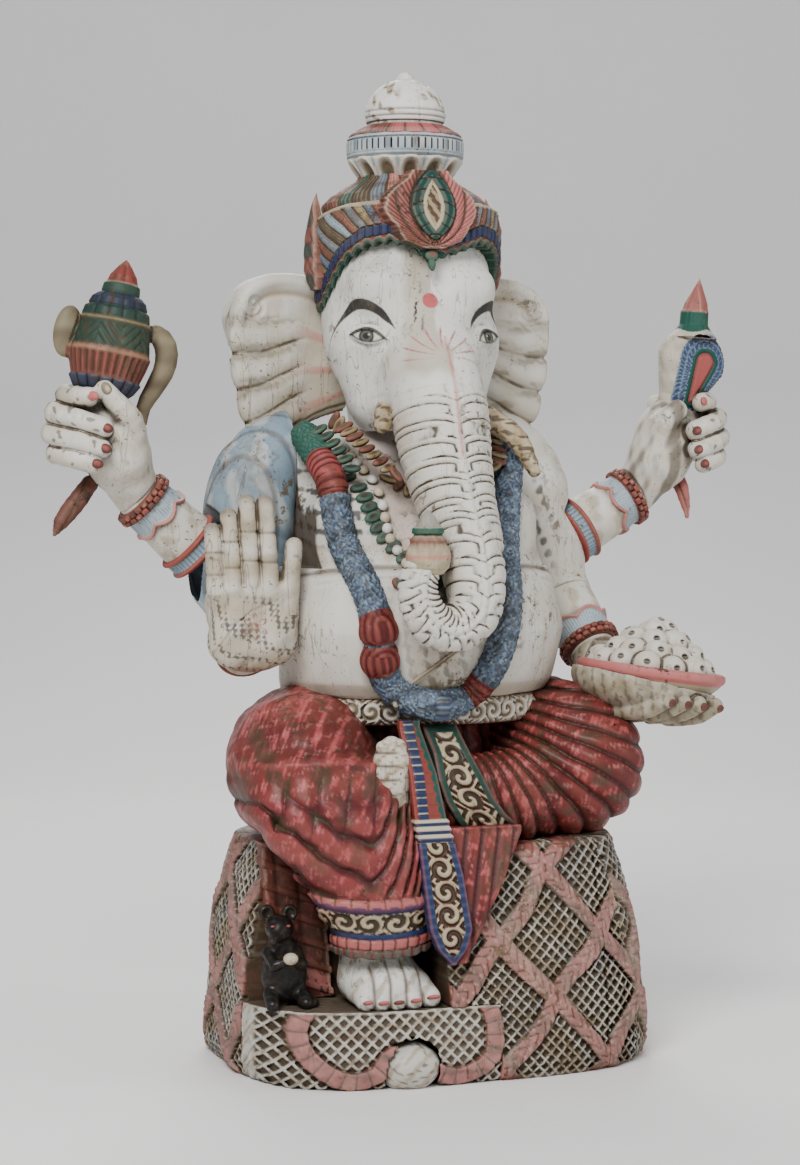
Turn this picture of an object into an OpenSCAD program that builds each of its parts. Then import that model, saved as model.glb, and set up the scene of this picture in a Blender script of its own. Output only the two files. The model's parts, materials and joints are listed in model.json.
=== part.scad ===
// Seated elephant-headed idol in carved and painted wood, built up from
// laminated blocks that meet on flat glue faces and are pinned with dowels.
// Millimetres, +Z up, the figure faces -Y and its own right hand is on -X.
// The origin is on the floor, under the middle of the crown.

/* [Seat] */
// Width of the rock seat across its boards
seat_w = 430; // [380:5:500]
// Depth of the rock seat
seat_d = 325; // [300:5:380]
// Height of the top of the seat above the floor
seat_h = 225; // [195:5:270]
// Thickness of each outer board at the widest place
board_t = 75; // [55:5:95]
// Height of the foot ledge
ledge_h = 75; // [55:5:95]

/* [Body] */
// Height of the hip block between seat and belt
hip_h = 115; // [95:5:140]
// Height of the carved belt
belt_h = 28; // [20:1:34]
// Height of the torso from belt to neck
torso_h = 267; // [222:3:321]
// Width of the belly
belly_w = 296; // [260:4:330]
// Depth of the belly
belly_d = 236; // [210:4:250]
// Width over both knees
knee_span = 444; // [400:4:500]

/* [Head] */
// Height of the head from neck to crown seat
head_h = 165; // [140:5:195]
// Width of the head
head_w = 176; // [150:4:200]
// Depth of the head
head_d = 200; // [176:4:216]
// Reach of each ear outwards from the middle
ear_reach = 174; // [150:2:205]
// Thickness of an ear
ear_t = 22; // [16:1:28]
// Radius of the trunk at its root
trunk_root_r = 46; // [40:1:52]
// Radius of the trunk at its tip
trunk_tip_r = 19; // [16:1:22]

/* [Crown] */
// Height of the band round the brow
band_h = 50; // [40:1:60]
// Height of the domed tier
dome_h = 42; // [34:1:50]
// Height of the petal cup
cup_h = 18; // [14:1:22]
// Height of the fluted ring
ring_h = 24; // [18:1:30]
// Height of the cap with its knob
cap_h = 66; // [54:1:80]
// Radius of the fluted ring
ring_r = 61; // [52:1:70]

/* [Arms] */
// Distance between the two raised fists
fist_span = 646; // [560:5:760]
// Height of the raised fists above the floor of the neck
fist_drop = 11; // [0:1:25]
// Radius of a forearm near the elbow
arm_r = 30; // [26:1:34]
// Radius of a forearm at the wrist
wrist_r = 24; // [20:1:26]
// Wall of a wrist bangle
bangle_t = 6; // [4:1:8]

/* [Held pieces] */
// Radius of the conch pot
conch_r = 37; // [30:1:44]
// Height of the conch pot above its collar
conch_h = 150; // [125:5:180]
// Width of the paisley goad
goad_w = 70; // [58:2:84]
// Radius of the sweet bowl
bowl_r = 75; // [62:1:82]
// Depth of the sweet bowl
bowl_depth = 30; // [24:1:36]
// Radius of one carved sweet
sweet_r = 12.5; // [11:0.5:13]

/* [Joinery] */
// Radius of the large dowels
dowel_r = 8; // [6:1:10]
// Radius of the small pins
pin_r = 4; // [3:0.5:5]
// Depth of a dowel in each block
dowel_in = 24; // [18:1:28]
// Glue gap round a dowel
glue_gap = 0.1; // [0.05:0.05:0.2]
// Radius of the pegs that lift out of the fists
peg_r = 7; // [5.8:0.2:8.6]
// Clearance round a lift-out peg
peg_gap = 0.1; // [0.05:0.05:0.2]

/* [Hidden] */

$fn = 48;
far = 1200;              // reaches past the whole figure
ring_n = 28;             // points round a carved ring

whitewash = "#d8d4c8";
stone = "#a39d8b";
red = "#8e4446";
pink = "#b5706f";
teal = "#1f5a50";
blue = "#7f98a6";
navy = "#2b3660";
wood = "#a47b4e";
dark = "#23231f";

// Heights of the glue faces
z_belt = seat_h + hip_h;
z_waist = z_belt + belt_h;
z_neck = z_waist + torso_h;
z_brow = z_neck + head_h;
z_dome = z_brow + band_h;
z_cup = z_dome + dome_h;
z_ring = z_cup + cup_h;
z_cap = z_ring + ring_h;

// Places of the glue faces seen from above
seat_y = -72;                          // middle of the seat
front_y = -130;                        // face between the seat core and the foot ledge
ledge_x = 20;                          // left end of the foot ledge
board_x = seat_w / 2 - board_t;        // inner face of each outer board
hip_x = 70;                            // sides of the hip block
lap_x = -45;                           // face between the two legs, in front
arm_x = 118;                           // sides of the chest, where the shoulders are glued
back_y = 84;                           // back of the torso, where the shawl is glued
trunk_y = -104;                        // face between the head and the trunk
ear_x = head_w / 2 - 22;               // faces of the slots in the head that hold the ears
crown_y = -14;                         // axis of the crown

// ---- shape helpers ----

// One level ring; a squareness over 2 makes it boxier
function oval(z, x, y, rx, ry, square = 2) =
    [for (i = [0 : ring_n - 1]) let (a = 360 * i / ring_n, c = cos(a), s = sin(a))
        [x + rx * sign(c) * pow(abs(c), 2 / square), y + ry * sign(s) * pow(abs(s), 2 / square), z]];

function unit(v) = v / norm(v);

// Rings along a path of [point, radius], square to the path
function hoops(path, ref, n) =
    [for (k = [0 : len(path) - 1])
        let (t = unit(path[min(k + 1, len(path) - 1)][0] - path[max(k - 1, 0)][0]),
             a = unit(cross(ref, t)), b = cross(t, a))
        [for (i = [0 : n - 1]) path[k][0] + path[k][1] * (cos(360 * i / n) * a + sin(360 * i / n) * b)]];

// Closed solid through a list of rings
module skin(rings) {
    n = len(rings[0]);
    top = len(rings) - 1;
    walls = [for (k = [0 : top - 1], i = [0 : n - 1]) let (j = (i + 1) % n)
        each [[k * n + i, (k + 1) * n + i, (k + 1) * n + j], [k * n + i, (k + 1) * n + j, k * n + j]]];
    polyhedron(points = [for (r = rings) each r],
        faces = concat([[for (i = [0 : n - 1]) i]], walls, [[for (i = [0 : n - 1]) top * n + n - 1 - i]]));
}

// Carved tube along a path of [point, radius]
module limb(path, ref = [0, 1, 0], n = 20) skin(hoops(path, ref, n));

// Carries +Z at the origin to the line from a to b
module along(a, b) {
    v = b - a;
    translate(a) rotate([0, acos(v.z / norm(v)), atan2(v.y, v.x)]) children();
}

// Block between two corners
module block(low, high) translate(low) cube(high - low);

// Dowel centred on a point, along a direction
module dowel(at, dir, r, half, gap)
    along(at - unit(dir) * (half + gap), at + unit(dir) * (half + gap))
        cylinder(r = r + gap, h = 2 * (half + gap));

// ---- arms: elbow, wrist and fist centres, side -1 for the figure's right ----

rear_elbow = [for (s = [-1, 1]) [s * (arm_x + (s < 0 ? 66 : 50)), 22, z_neck - (s < 0 ? 150 : 130)]];
fist = [for (s = [-1, 1]) [s * fist_span / 2, 10, z_neck - fist_drop]];
rear_wrist = [for (s = [-1, 1]) fist[(s + 1) / 2] + [-s * 47, 10, -56]];
front_elbow = [for (s = [-1, 1]) [s * (arm_x + 60), 18, z_neck - 158]];
front_wrist = [[-arm_x - 76, -84, z_neck - 226], [arm_x + 80, -48, z_neck - 232]];
rear_start = 34;         // from the elbow point to the forearm's glue face
front_start = 30;
conch_lean = 11;         // lean of the peg in the right fist, towards +X
goad_lean = 4;
collar_up = 24;          // from the fist's middle to the flat that the collar rests on
collar_t = 8;            // height of the collar
seat_gap = 0.1;          // under the collar at rest
fist_low = 46;           // from the fist's middle down to the flat over the tassel
peg_down = 22;           // peg below the fist's middle

function side(s) = (s + 1) / 2;
function on(a, b, d) = a + unit(b - a) * d;

// ---- dowels, drawn with no gap as pieces and with the glue gap as holes ----

module seat_dowels(gap = 0) {
    for (s = [-1, 1], yz = [[-90, 0.3], [10, 0.7]])
        dowel([s * board_x, yz[0], seat_h * yz[1]], [1, 0, 0], dowel_r, dowel_in, gap);
    for (x = [-110, -40]) dowel([x, front_y, ledge_h / 2], [0, 1, 0], dowel_r, dowel_in, gap);
    dowel([0, -40, seat_h], [0, 0, 1], dowel_r, dowel_in, gap);
    dowel([0, 35, seat_h], [0, 0, 1], dowel_r, dowel_in, gap);
    for (s = [-1, 1]) dowel([s * hip_x, -50, seat_h + 55], [1, 0, 0], dowel_r, dowel_in, gap);
}

module body_dowels(gap = 0) {
    for (s = [-1, 1])
        along([s * 42, -30, z_belt - dowel_in - gap], [s * 42, -30, z_waist + dowel_in + gap])
            cylinder(r = dowel_r + gap, h = belt_h + 2 * (dowel_in + gap));
    dowel([0, -14, z_neck], [0, 0, 1], dowel_r, dowel_in, gap);
    for (s = [-1, 1]) dowel([s * arm_x, 26, z_neck - 60], [1, 0, 0], dowel_r, dowel_in, gap);
}

module arm_dowels(gap = 0) {
    for (k = [0, 1]) {
        dowel(on(rear_elbow[k], rear_wrist[k], rear_start), rear_wrist[k] - rear_elbow[k], pin_r, 13, gap);
        dowel(rear_wrist[k], rear_wrist[k] - rear_elbow[k], pin_r, 16, gap);
        dowel(on(front_elbow[k], front_wrist[k], front_start), front_wrist[k] - front_elbow[k], pin_r, 13, gap);
    }
    dowel([front_wrist[0].x, palm_back, front_wrist[0].z - 1], [0, 1, 0], pin_r, 12, gap);
    dowel(front_wrist[1], front_wrist[1] - front_elbow[1], pin_r, 12, gap);
}

module ear_dowels(gap = 0)
    for (s = [-1, 1], z = [0.38, 0.72])
        dowel([s * ear_x, ear_y, z_neck + head_h * z], [1, 0, 0], pin_r, 14, gap);

module crown_dowel(gap = 0)
    along([0, crown_y, z_brow - dowel_in - gap], [0, crown_y, z_cap + dowel_in + gap])
        cylinder(r = dowel_r + gap, h = z_cap - z_brow + 2 * (dowel_in + gap));

module ornament_pins(gap = 0) {
    dowel([0, jewel_y, z_brow + band_h * 0.6], [0, 1, 0], pin_r, 6, gap);
    for (s = [-1, 1]) dowel([s * leaf_x, 10, z_brow + band_h * 0.5], [1, 0, 0], pin_r, 6, gap);
    dowel([0, trunk_y, z_neck + 38], [0, 1, 0], dowel_r, 16, gap);
    dowel(mouse_at, [0, 0, 1], pin_r, 14, gap);
    dowel([stone_at.x, stone_face_y, 20], [0, 1, 0], pin_r, 9, gap);
    dowel([right_foot_at.x, right_foot_at.y + 22, ledge_h], [0, 0, 1], pin_r, 14, gap);
    dowel([-78, left_foot_y, seat_h + 65], [0, 1, 0], pin_r, 9, gap);
}

// ---- seat ----

module rock() skin([
    oval(0, 0, seat_y, seat_w * 0.488, seat_d * 0.482, 3.6),
    oval(16, 0, seat_y, seat_w * 0.5, seat_d * 0.5, 3.6),
    oval(seat_h * 0.32, 0, seat_y, seat_w * 0.498, seat_d * 0.49, 3.4),
    oval(seat_h * 0.6, 0, seat_y + 4, seat_w * 0.482, seat_d * 0.455, 3.2),
    oval(seat_h * 0.85, 0, seat_y + 8, seat_w * 0.458, seat_d * 0.43, 3),
    oval(seat_h, 0, seat_y + 10, seat_w * 0.43, seat_d * 0.41, 3)]);

module seat_core() color(stone) difference() {
    intersection() {
        rock();
        block([-board_x, -far, -1], [board_x, far, far]);
    }
    block([-far, -far, -1], [ledge_x, front_y, far]);
    seat_dowels(glue_gap);
    ornament_pins(glue_gap);
}

module seat_right_board() color(stone) difference() {
    intersection() {
        rock();
        block([-far, front_y, -1], [-board_x, far, far]);
    }
    seat_dowels(glue_gap);
}

module seat_left_board() color(stone) difference() {
    intersection() {
        rock();
        block([board_x, -far, -1], [far, far, far]);
    }
    seat_dowels(glue_gap);
}

module foot_ledge() color(stone) difference() {
    intersection() {
        rock();
        block([-far, -far, -1], [ledge_x, front_y, ledge_h]);
    }
    block([stone_at.x - 40, -far, -1], [stone_at.x + 40, stone_face_y, 45]);
    seat_dowels(glue_gap);
    ornament_pins(glue_gap);
}

stone_at = [-70, -236, 20];
stone_face_y = seat_y - seat_d / 2 + 12;

module foot_stone() color(whitewash) difference() {
    intersection() {
        skin([for (k = [0 : 4]) let (a = -40 + k * 32)
            oval(20 + 22 * sin(max(a, -66)) - (k == 0 ? 6 : 0), stone_at.x, stone_face_y, 30 * cos(a * 0.9), 22 * cos(a * 0.9))]);
        block([-far, -far, 0], [far, stone_face_y, 45]);
    }
    ornament_pins(glue_gap);
}

// ---- mouse ----

mouse_at = [-seat_w / 2 + 38, -158, ledge_h];

module mouse() color(dark) difference() {
    translate(mouse_at) union() {
        skin([oval(0, 0, 0, 21, 20), oval(14, 0, 0, 25, 23), oval(38, 0, 2, 22, 20),
            oval(60, 2, 0, 17, 16), oval(70, 3, -2, 13, 13)]);
        translate([4, -5, 82]) sphere(r = 19);
        for (x = [-11, 17]) translate([x, 2, 98]) sphere(r = 6);
        translate([14, -18, 36]) sphere(r = 11);
    }
    ornament_pins(glue_gap);
}

// ---- legs ----

hem_z = seat_h * 0.66;
right_foot_at = [-84, -188, ledge_h];
left_foot_y = -186;
sash_y = -190;           // back of the sash tail

module hip_block() color(red) difference() {
    intersection() {
        skin([oval(seat_h, 0, -20, 150, 100, 3), oval(seat_h + 30, 0, -20, 160, 106, 3),
            oval(z_belt, 0, -24, 140, 104, 3)]);
        block([-hip_x, front_y, seat_h], [hip_x, far, z_belt]);
    }
    seat_dowels(glue_gap);
    body_dowels(glue_gap);
}

// Thigh and knee of one side, above the seat
module thigh(s) {
    knee = knee_span / 2;
    limb([[[s * 62, 44, seat_h + 46], 18], [[s * 78, 30, seat_h + 55], 50], [[s * (knee - 118), -20, seat_h + 68], 68],
        [[s * (knee - 92), -70, seat_h + 76], 74], [[s * (knee - 78), -112, seat_h + 74], 72],
        [[s * (knee - 74), -148, seat_h + 66], 54], [[s * (knee - 76), -170, seat_h + 60], 26]], [0, 0, 1]);
}

module right_leg() color(red) difference() {
    intersection() {
        union() {
            thigh(-1);
            skin([oval(hem_z, -88, -184, 50, 38), oval(hem_z + 32, -94, -184, 60, 42),
                oval(seat_h, -112, -180, 78, 46), oval(seat_h + 40, -134, -166, 80, 54),
                oval(seat_h + 84, -136, -150, 72, 52)]);
        }
        union() {
            block([-far, -far, hem_z], [lap_x, front_y, z_belt + 60]);
            block([-far, -far, hem_z], [0, front_y, seat_h]);
            block([-far, front_y - 1, seat_h], [-hip_x, far, z_belt + 60]);
        }
    }
    foot_box(0);
    sash_blank(0.2);
    seat_dowels(glue_gap);
    ornament_pins(glue_gap);
    torso_blank(0.3);
    belt_blank(0.3);
    front_arms(0.4);
}

module left_leg() color(red) difference() {
    intersection() {
        union() {
            thigh(1);
            limb([[[-60, -158, seat_h + 46], 34], [[0, -156, seat_h + 44], 38], [[70, -146, seat_h + 44], 44],
                [[130, -130, seat_h + 46], 44]], [0, 0, 1]);
        }
        union() {
            block([lap_x, sash_y, seat_h], [far, front_y, z_belt + 60]);
            block([hip_x, front_y - 1, seat_h], [far, far, z_belt + 60]);
        }
    }
    seat_dowels(glue_gap);
    torso_blank(0.3);
    belt_blank(0.3);
    front_arms(0.4);
    left_palm_blank(0.4);
}

module foot_box(grow)
    block([-112 - grow, -far, seat_h + 18 - grow], [lap_x + 1, left_foot_y + grow, z_belt + 10 + grow]);

module left_foot() color(whitewash) difference() {
    intersection() {
        union() {
            limb([[[-78, left_foot_y - 8, seat_h + 24], 12], [[-78, left_foot_y - 8, seat_h + 40], 17],
                [[-78, left_foot_y - 8, seat_h + 84], 18], [[-78, left_foot_y - 8, seat_h + 106], 12]], [0, 1, 0]);
            for (k = [0 : 4]) translate([-76, left_foot_y - 20, seat_h + 36 + 16 * k]) sphere(r = 7 + k * 0.6);
        }
        block([-far, -far, 0], [lap_x - 1, left_foot_y, far]);
    }
    ornament_pins(glue_gap);
}

module right_foot() color(whitewash) difference() {
    translate(right_foot_at) union() {
        skin([oval(0, 0, 8, 40, 36, 2.6), oval(22, 0, 8, 42, 38), oval(48, 0, 10, 40, 34),
            oval(hem_z - ledge_h, -2, 10, 38, 30)]);
        for (k = [0 : 4]) translate([30 - 16 * k, -30 + abs(k - 1) * 2, 11]) sphere(r = 10.5 - k * 0.8);
    }
    block([-far, -far, -far], [far, far, ledge_h]);
    ornament_pins(glue_gap);
}

module sash_blank(grow) intersection() {
    translate([-14, -200, z_belt]) rotate([0, 4, 0]) mirror([0, 0, 1])
        linear_extrude(height = z_belt - hem_z + 24) square([38 + 2 * grow, 18 + 2 * grow], center = true);
    block([lap_x, -far, hem_z - 20 - grow], [60, sash_y + grow, z_belt - 6 + grow]);
}

module sash_tail() color(navy) sash_blank(0);

// ---- torso ----

module belt_blank(grow) skin([
    oval(z_belt, 0, -28, 120 + grow, 96 + grow), oval(z_belt + belt_h * 0.3, 0, -32, 136 + grow, 108 + grow),
    oval(z_belt + belt_h * 0.7, 0, -36, 142 + grow, 112 + grow), oval(z_waist, 0, -40, 138 + grow, 108 + grow)]);

module waist_belt() color(whitewash) difference() {
    belt_blank(0);
    body_dowels(glue_gap);
    front_arms(0.4);
}

module torso_blank(grow) {
    rx = belly_w / 2 + grow;
    ry = belly_d / 2 + grow;
    skin([oval(z_waist, 0, -40, rx - 14, ry - 12),
        oval(z_waist + torso_h * 0.1, 0, -48, rx - 5, ry - 3),
        oval(z_waist + torso_h * 0.24, 0, -54, rx, ry),
        oval(z_waist + torso_h * 0.42, 0, -46, rx - 5, ry - 4),
        oval(z_waist + torso_h * 0.58, 0, -24, rx - 14, ry - 14),
        oval(z_waist + torso_h * 0.74, 0, -4, rx - 20, ry - 26),
        oval(z_waist + torso_h * 0.88, 0, 6, rx - 28, ry - 38),
        oval(z_waist + torso_h * 0.96, 0, 6, rx - 52, ry - 54),
        oval(z_neck, 0, 2, rx - 72, ry - 62)]);
}

module torso() color(whitewash) difference() {
    torso_blank(0);
    for (s = [-1, 1]) block([s < 0 ? -far : arm_x, -far, z_neck - 140], [s < 0 ? -arm_x : far, far, z_neck + 1]);
    block([-far, back_y, z_waist - 1], [far, far, z_neck + 1]);
    front_arms(0.4);
    body_dowels(glue_gap);
}

module shawl() color(blue) difference() {
    union() {
        intersection() {
            skin([oval(z_waist + 10, 0, back_y, 96, 14), oval(z_waist + 80, 0, back_y, 104, 20),
                oval(z_neck - 90, 0, back_y, 110, 24), oval(z_neck - 30, 0, back_y, 96, 22),
                oval(z_neck, 0, back_y, 70, 14)]);
            block([-far, back_y, 0], [far, far, far]);
        }
    }
    shoulder_blank(-1, 0.3);
    shoulder_blank(1, 0.3);
}

module shoulder_blank(s, grow)
    limb([[[s * 100, 22, z_neck - 8], 24 + grow], [[s * 118, 26, z_neck - 22], 42 + grow],
        [[s * 140, 30, z_neck - 52], 52 + grow], [[s * 150, 30, z_neck - 90], 52 + grow],
        [[s * 156, 26, z_neck - 128], 46 + grow], [[s * 160, 20, z_neck - 156], 38 + grow],
        [[s * 160, 18, z_neck - 178], 20 + grow]], [0, 1, 0], 24);

module shoulder(s) color(s < 0 ? blue : whitewash) difference() {
    intersection() {
        shoulder_blank(s, 0);
        block([s < 0 ? -far : arm_x, -far, z_neck - 190], [s < 0 ? -arm_x : far, far, far]);
    }
    torso_lower(0.2);
    rear_socket(s);
    front_socket(s);
    body_dowels(glue_gap);
    arm_dowels(glue_gap);
}

// The part of the torso below the flat sides of the chest
module torso_lower(grow) intersection() {
    torso_blank(grow);
    block([-far, -far, 0], [far, far, z_neck - 140 + grow]);
}

// ---- forearms, each a cone between two glue faces ----

module forearm(a, b, start, grow) {
    p = on(a, b, start);
    along(p, b) cylinder(r1 = arm_r + grow, r2 = wrist_r + grow, h = norm(b - p));
}

// Flat-bottomed seat that the forearm is glued into
module rear_socket(s) {
    p = on(rear_elbow[side(s)], rear_wrist[side(s)], rear_start);
    along(p, rear_wrist[side(s)]) cylinder(r = arm_r + 12, h = far);
}

module front_socket(s) {
    p = on(front_elbow[side(s)], front_wrist[side(s)], front_start);
    along(p, front_wrist[side(s)]) cylinder(r = arm_r + 12, h = far);
}

module front_arms(grow) for (k = [0, 1]) {
    forearm(front_elbow[k], front_wrist[k], front_start, grow);
    bangle_ring(front_elbow[k], front_wrist[k], front_start, grow);
}

module rear_forearm(s) color(whitewash) difference() {
    forearm(rear_elbow[side(s)], rear_wrist[side(s)], rear_start, 0);
    arm_dowels(glue_gap);
}

module front_forearm(s) color(whitewash) difference() {
    forearm(front_elbow[side(s)], front_wrist[side(s)], front_start, 0);
    palm_side();
    arm_dowels(glue_gap);
}

bangle_l = 30;           // length of a bangle along the arm
bangle_end = 3;          // from the bangle to the wrist face
armlet_l = 18;           // length of an armlet along the arm
armlet_start = 2;        // from the forearm's glue face to the armlet

// Outside of a cuff on a forearm, at a distance from its glue face
module cuff_ring(a, b, start, from, length, grow) {
    p = on(a, b, start);
    along(p, b) translate([0, 0, from - grow])
        cylinder(r = arm_at(from, norm(b - p)) + bangle_t + grow, h = length + 2 * grow);
}

module bangle_ring(a, b, start, grow)
    cuff_ring(a, b, start, norm(b - a) - start - bangle_l - bangle_end, bangle_l, grow);

function arm_at(d, length) = arm_r + (wrist_r - arm_r) * d / length;

module bangle(a, b, start) color(pink) difference() {
    bangle_ring(a, b, start, 0);
    forearm(a, b, start, glue_gap);
    palm_side();
}

// Everything in front of the raised palm's back face
module palm_side() block([-far, -far, 0], [-arm_x, palm_back, z_neck - 100]);

module armlet(s) color(red) difference() {
    cuff_ring(rear_elbow[side(s)], rear_wrist[side(s)], rear_start, armlet_start, armlet_l, 0);
    forearm(rear_elbow[side(s)], rear_wrist[side(s)], rear_start, glue_gap);
}

// ---- hands ----

module peg_frame(s) translate(fist[side(s)]) rotate([0, s < 0 ? conch_lean : goad_lean, 0]) children();

module rear_fist(s) color(whitewash) difference() {
    c = fist[side(s)];
    w = rear_wrist[side(s)];
    e = rear_elbow[side(s)];
    hull() {
        translate(c) sphere(r = 35, $fn = 28);
        translate(c + [s * 4, -4, -18]) sphere(r = 32, $fn = 28);
        along(w, w + (w - e)) cylinder(r = wrist_r - 1, h = 1, $fn = 32);
    }
    along(w, e) cylinder(r = far / 4, h = far);
    peg_frame(s) translate([0, 0, -far / 2]) cylinder(r = peg_r + peg_gap, h = far);
    peg_frame(s) translate([0, 0, collar_up]) cylinder(r = peg_r + 9, h = far);
    peg_frame(s) translate([0, 0, -far - fist_low]) cylinder(r = peg_r + 9, h = far);
    arm_dowels(glue_gap);
}

palm_back = front_wrist[0].y - 4;
palm_at = [front_wrist[0].x + 3, palm_back - 8, z_neck - 172];

module finger(from, to, r) limb([[from, r], [to, r], [to + unit(to - from) * r * 0.8, r * 0.5]], [0, 1, 0], 14);

module front_right_hand() color(whitewash) difference() {
    intersection() {
        union() {
            translate(palm_at) skin([oval(-66, 0, 2, 16, 9), oval(-54, 0, 0, 32, 15), oval(-20, 0, 0, 41, 17),
                oval(20, 0, 0, 42, 15), oval(38, -2, 0, 40, 12)]);
            for (k = [0 : 3]) {
                foot_of = palm_at + [-32 + 20.5 * k, 0, 26];
                finger(foot_of, foot_of + [-4 + k, 0, [44, 62, 72, 66][k]], 9.6);
            }
        }
        block([-far, -far, 0], [far, palm_back, far]);
    }
    block([palm_at.x + 33, -far, palm_at.z - 20], [far, far, far]);
    arm_dowels(glue_gap);
}

module right_thumb() color(whitewash) intersection() {
    finger(palm_at + [34, 0, -12], palm_at + [46, 0, 50], 10);
    block([palm_at.x + 33, -far, palm_at.z - 20], [far, palm_back, far]);
}

// ---- bowl of sweets in the front left hand ----

bowl_at = [arm_x + 108, -132, max(z_belt + 48, front_wrist[1].z - 15)];
bowl_tilt = 8;

module bowl_frame() translate(bowl_at) rotate([0, bowl_tilt, 0]) children();

module left_palm_blank(grow) {
    w = front_wrist[1];
    hull() {
        bowl_frame() translate([-6, 0, -bowl_depth - 11 - grow]) cylinder(r = 40 + grow, h = 10 + grow, $fn = 32);
        along(w, w + (w - front_elbow[1])) cylinder(r = wrist_r - 2 + grow, h = 1, $fn = 32);
    }
}

module front_left_hand() color(whitewash) difference() {
    union() {
        left_palm_blank(0);
        for (k = [0 : 3]) bowl_frame() finger([-14 + 14 * k, 0, -bowl_depth - 8], [-20 + 20 * k, -44 + 3 * k, -bowl_depth - 7], 7);
    }
    bowl_frame() rotate_extrude() polygon(concat([[0, -bowl_depth]], bowl_side(0.2), [[bowl_r, far], [0, far]]));
    along(front_wrist[1], front_elbow[1]) cylinder(r = far / 4, h = far);
    arm_dowels(glue_gap);
}

// Outer side of the bowl, from the edge of its flat foot to its rim
function bowl_side(grow) = [[bowl_r * 0.5 + grow, -bowl_depth], [bowl_r * 0.78 + grow, -bowl_depth * 0.72],
    [bowl_r * 0.93 + grow, -bowl_depth * 0.36], [bowl_r + grow, -5], [bowl_r + grow, 0]];

module bowl() color(pink) bowl_frame() rotate_extrude() polygon(concat([[0, -bowl_depth]], bowl_side(0),
    [[bowl_r - 3, 2], [bowl_r - 7, 0], [bowl_r - 10, -4], [0, -4]]));

// Rows of carved sweets: [number, radius of the row, height of their middles]
heap_r = bowl_r - 12 - sweet_r;
sweet_rows = [[13, heap_r, 3], [9, heap_r * 0.56, 18], [5, heap_r * 0.2, 32], [1, 0, 43]];

module sweets() color(whitewash) bowl_frame() difference() {
    union() {
        translate([0, 0, -4]) rotate_extrude() polygon([[0, 0], [heap_r + 1, 0],
            [heap_r * 0.6, 20], [heap_r * 0.15, 34], [0, 42]]);
        for (row = sweet_rows, i = [0 : row[0] - 1])
            rotate([0, 0, 360 * (i + row[2] / 30) / row[0]]) translate([row[1], 0, row[2]]) sphere(r = sweet_r);
    }
    translate([0, 0, -far - 4]) cylinder(r = bowl_r, h = far);
}

// ---- head ----

ear_y = 30;

module head_blank(grow) {
    rx = head_w / 2 + grow;
    ry = head_d / 2 + grow;
    skin([oval(z_neck, 0, -34, rx - 34, ry - 48), oval(z_neck + head_h * 0.1, 0, -34, rx - 22, ry - 34),
        oval(z_neck + head_h * 0.38, 0, -28, rx - 8, ry - 12), oval(z_neck + head_h * 0.68, 0, -22, rx, ry - 2),
        oval(z_neck + head_h * 0.88, 0, -18, rx, ry - 2), oval(z_brow, 0, -16, rx - 3, ry - 8)]);
}

module head() color(whitewash) difference() {
    head_blank(0);
    for (s = [-1, 1]) ear_room(s);
    block([-far, -far, 0], [far, trunk_y, z_neck + head_h * 0.42]);
    for (s = [-1, 1]) tusk_blank(s, glue_gap);
    body_dowels(glue_gap);
    ear_dowels(glue_gap);
    crown_dowel(glue_gap);
    ornament_pins(glue_gap);
}

// Slab that one ear lies in, down to the slot in the head
module ear_room(s)
    block([s < 0 ? -far : ear_x, ear_y - ear_t / 2, z_neck - 60], [s < 0 ? -ear_x : far, ear_y + ear_t / 2, z_brow - 12]);

// Outline of one ear, outwards on +X: broad and round above, drawn in to a point below
module ear_outline() {
    w = ear_reach - ear_x;
    h = head_h + 24;
    polygon([[0, h * 0.18], [w * 0.2, h * 0.04], [w * 0.42, 0], [w * 0.62, h * 0.08], [w * 0.82, h * 0.28],
        [w * 0.96, h * 0.5], [w, h * 0.72], [w * 0.97, h * 0.86], [w * 0.84, h * 0.96], [w * 0.62, h],
        [w * 0.36, h * 0.99], [w * 0.14, h * 0.93], [0, h * 0.86]]);
}

module ear(s) color(whitewash) difference() {
    intersection() {
        translate([s * ear_x, ear_y + ear_t / 2, z_neck - 38]) mirror([s < 0 ? 1 : 0, 0, 0])
            rotate([90, 0, 0]) linear_extrude(height = ear_t) ear_outline();
        ear_room(s);
    }
    ear_dowels(glue_gap);
    shoulder_blank(s, 0.3);
    torso_blank(0.3);
}

// Middle line of the trunk: down in front of the belly, then curled to the figure's right
module trunk_blank(grow) {
    reach = -belly_d / 2 - 92;
    limb([[[0, trunk_y + 34, z_neck + 50], trunk_root_r - 8], [[0, trunk_y + 4, z_neck + 38], trunk_root_r],
        [[2, -136, z_neck - 8], trunk_root_r - 4],
        [[5, (reach - 166) / 2, z_neck - 60], trunk_root_r - 9], [[6, reach - 4, z_neck - 105], trunk_root_r - 16],
        [[6, reach - 4, z_neck - 146], trunk_tip_r + 6], [[-6, reach - 2, z_neck - 170], trunk_tip_r + 4],
        [[-28, reach, z_neck - 178], trunk_tip_r + 2], [[-46, reach, z_neck - 162], trunk_tip_r],
        [[-50, reach, z_neck - 142], trunk_tip_r - 2]], [0, 1, 0], 22);
}

module trunk() color(whitewash) difference() {
    trunk_blank(0);
    block([-far, trunk_y, 0], [far, far, far]);
    difference() {
        head_blank(0.2);
        block([-far, -far, 0], [far, trunk_y, z_neck + head_h * 0.42]);
    }
    torso_blank(0.4);
    translate([-48, -belly_d / 2 - 92, z_neck - 142]) cylinder(r = 40, h = 60);
    for (s = [-1, 1]) tusk_blank(s, 0.3);
    ornament_pins(glue_gap);
}

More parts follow.
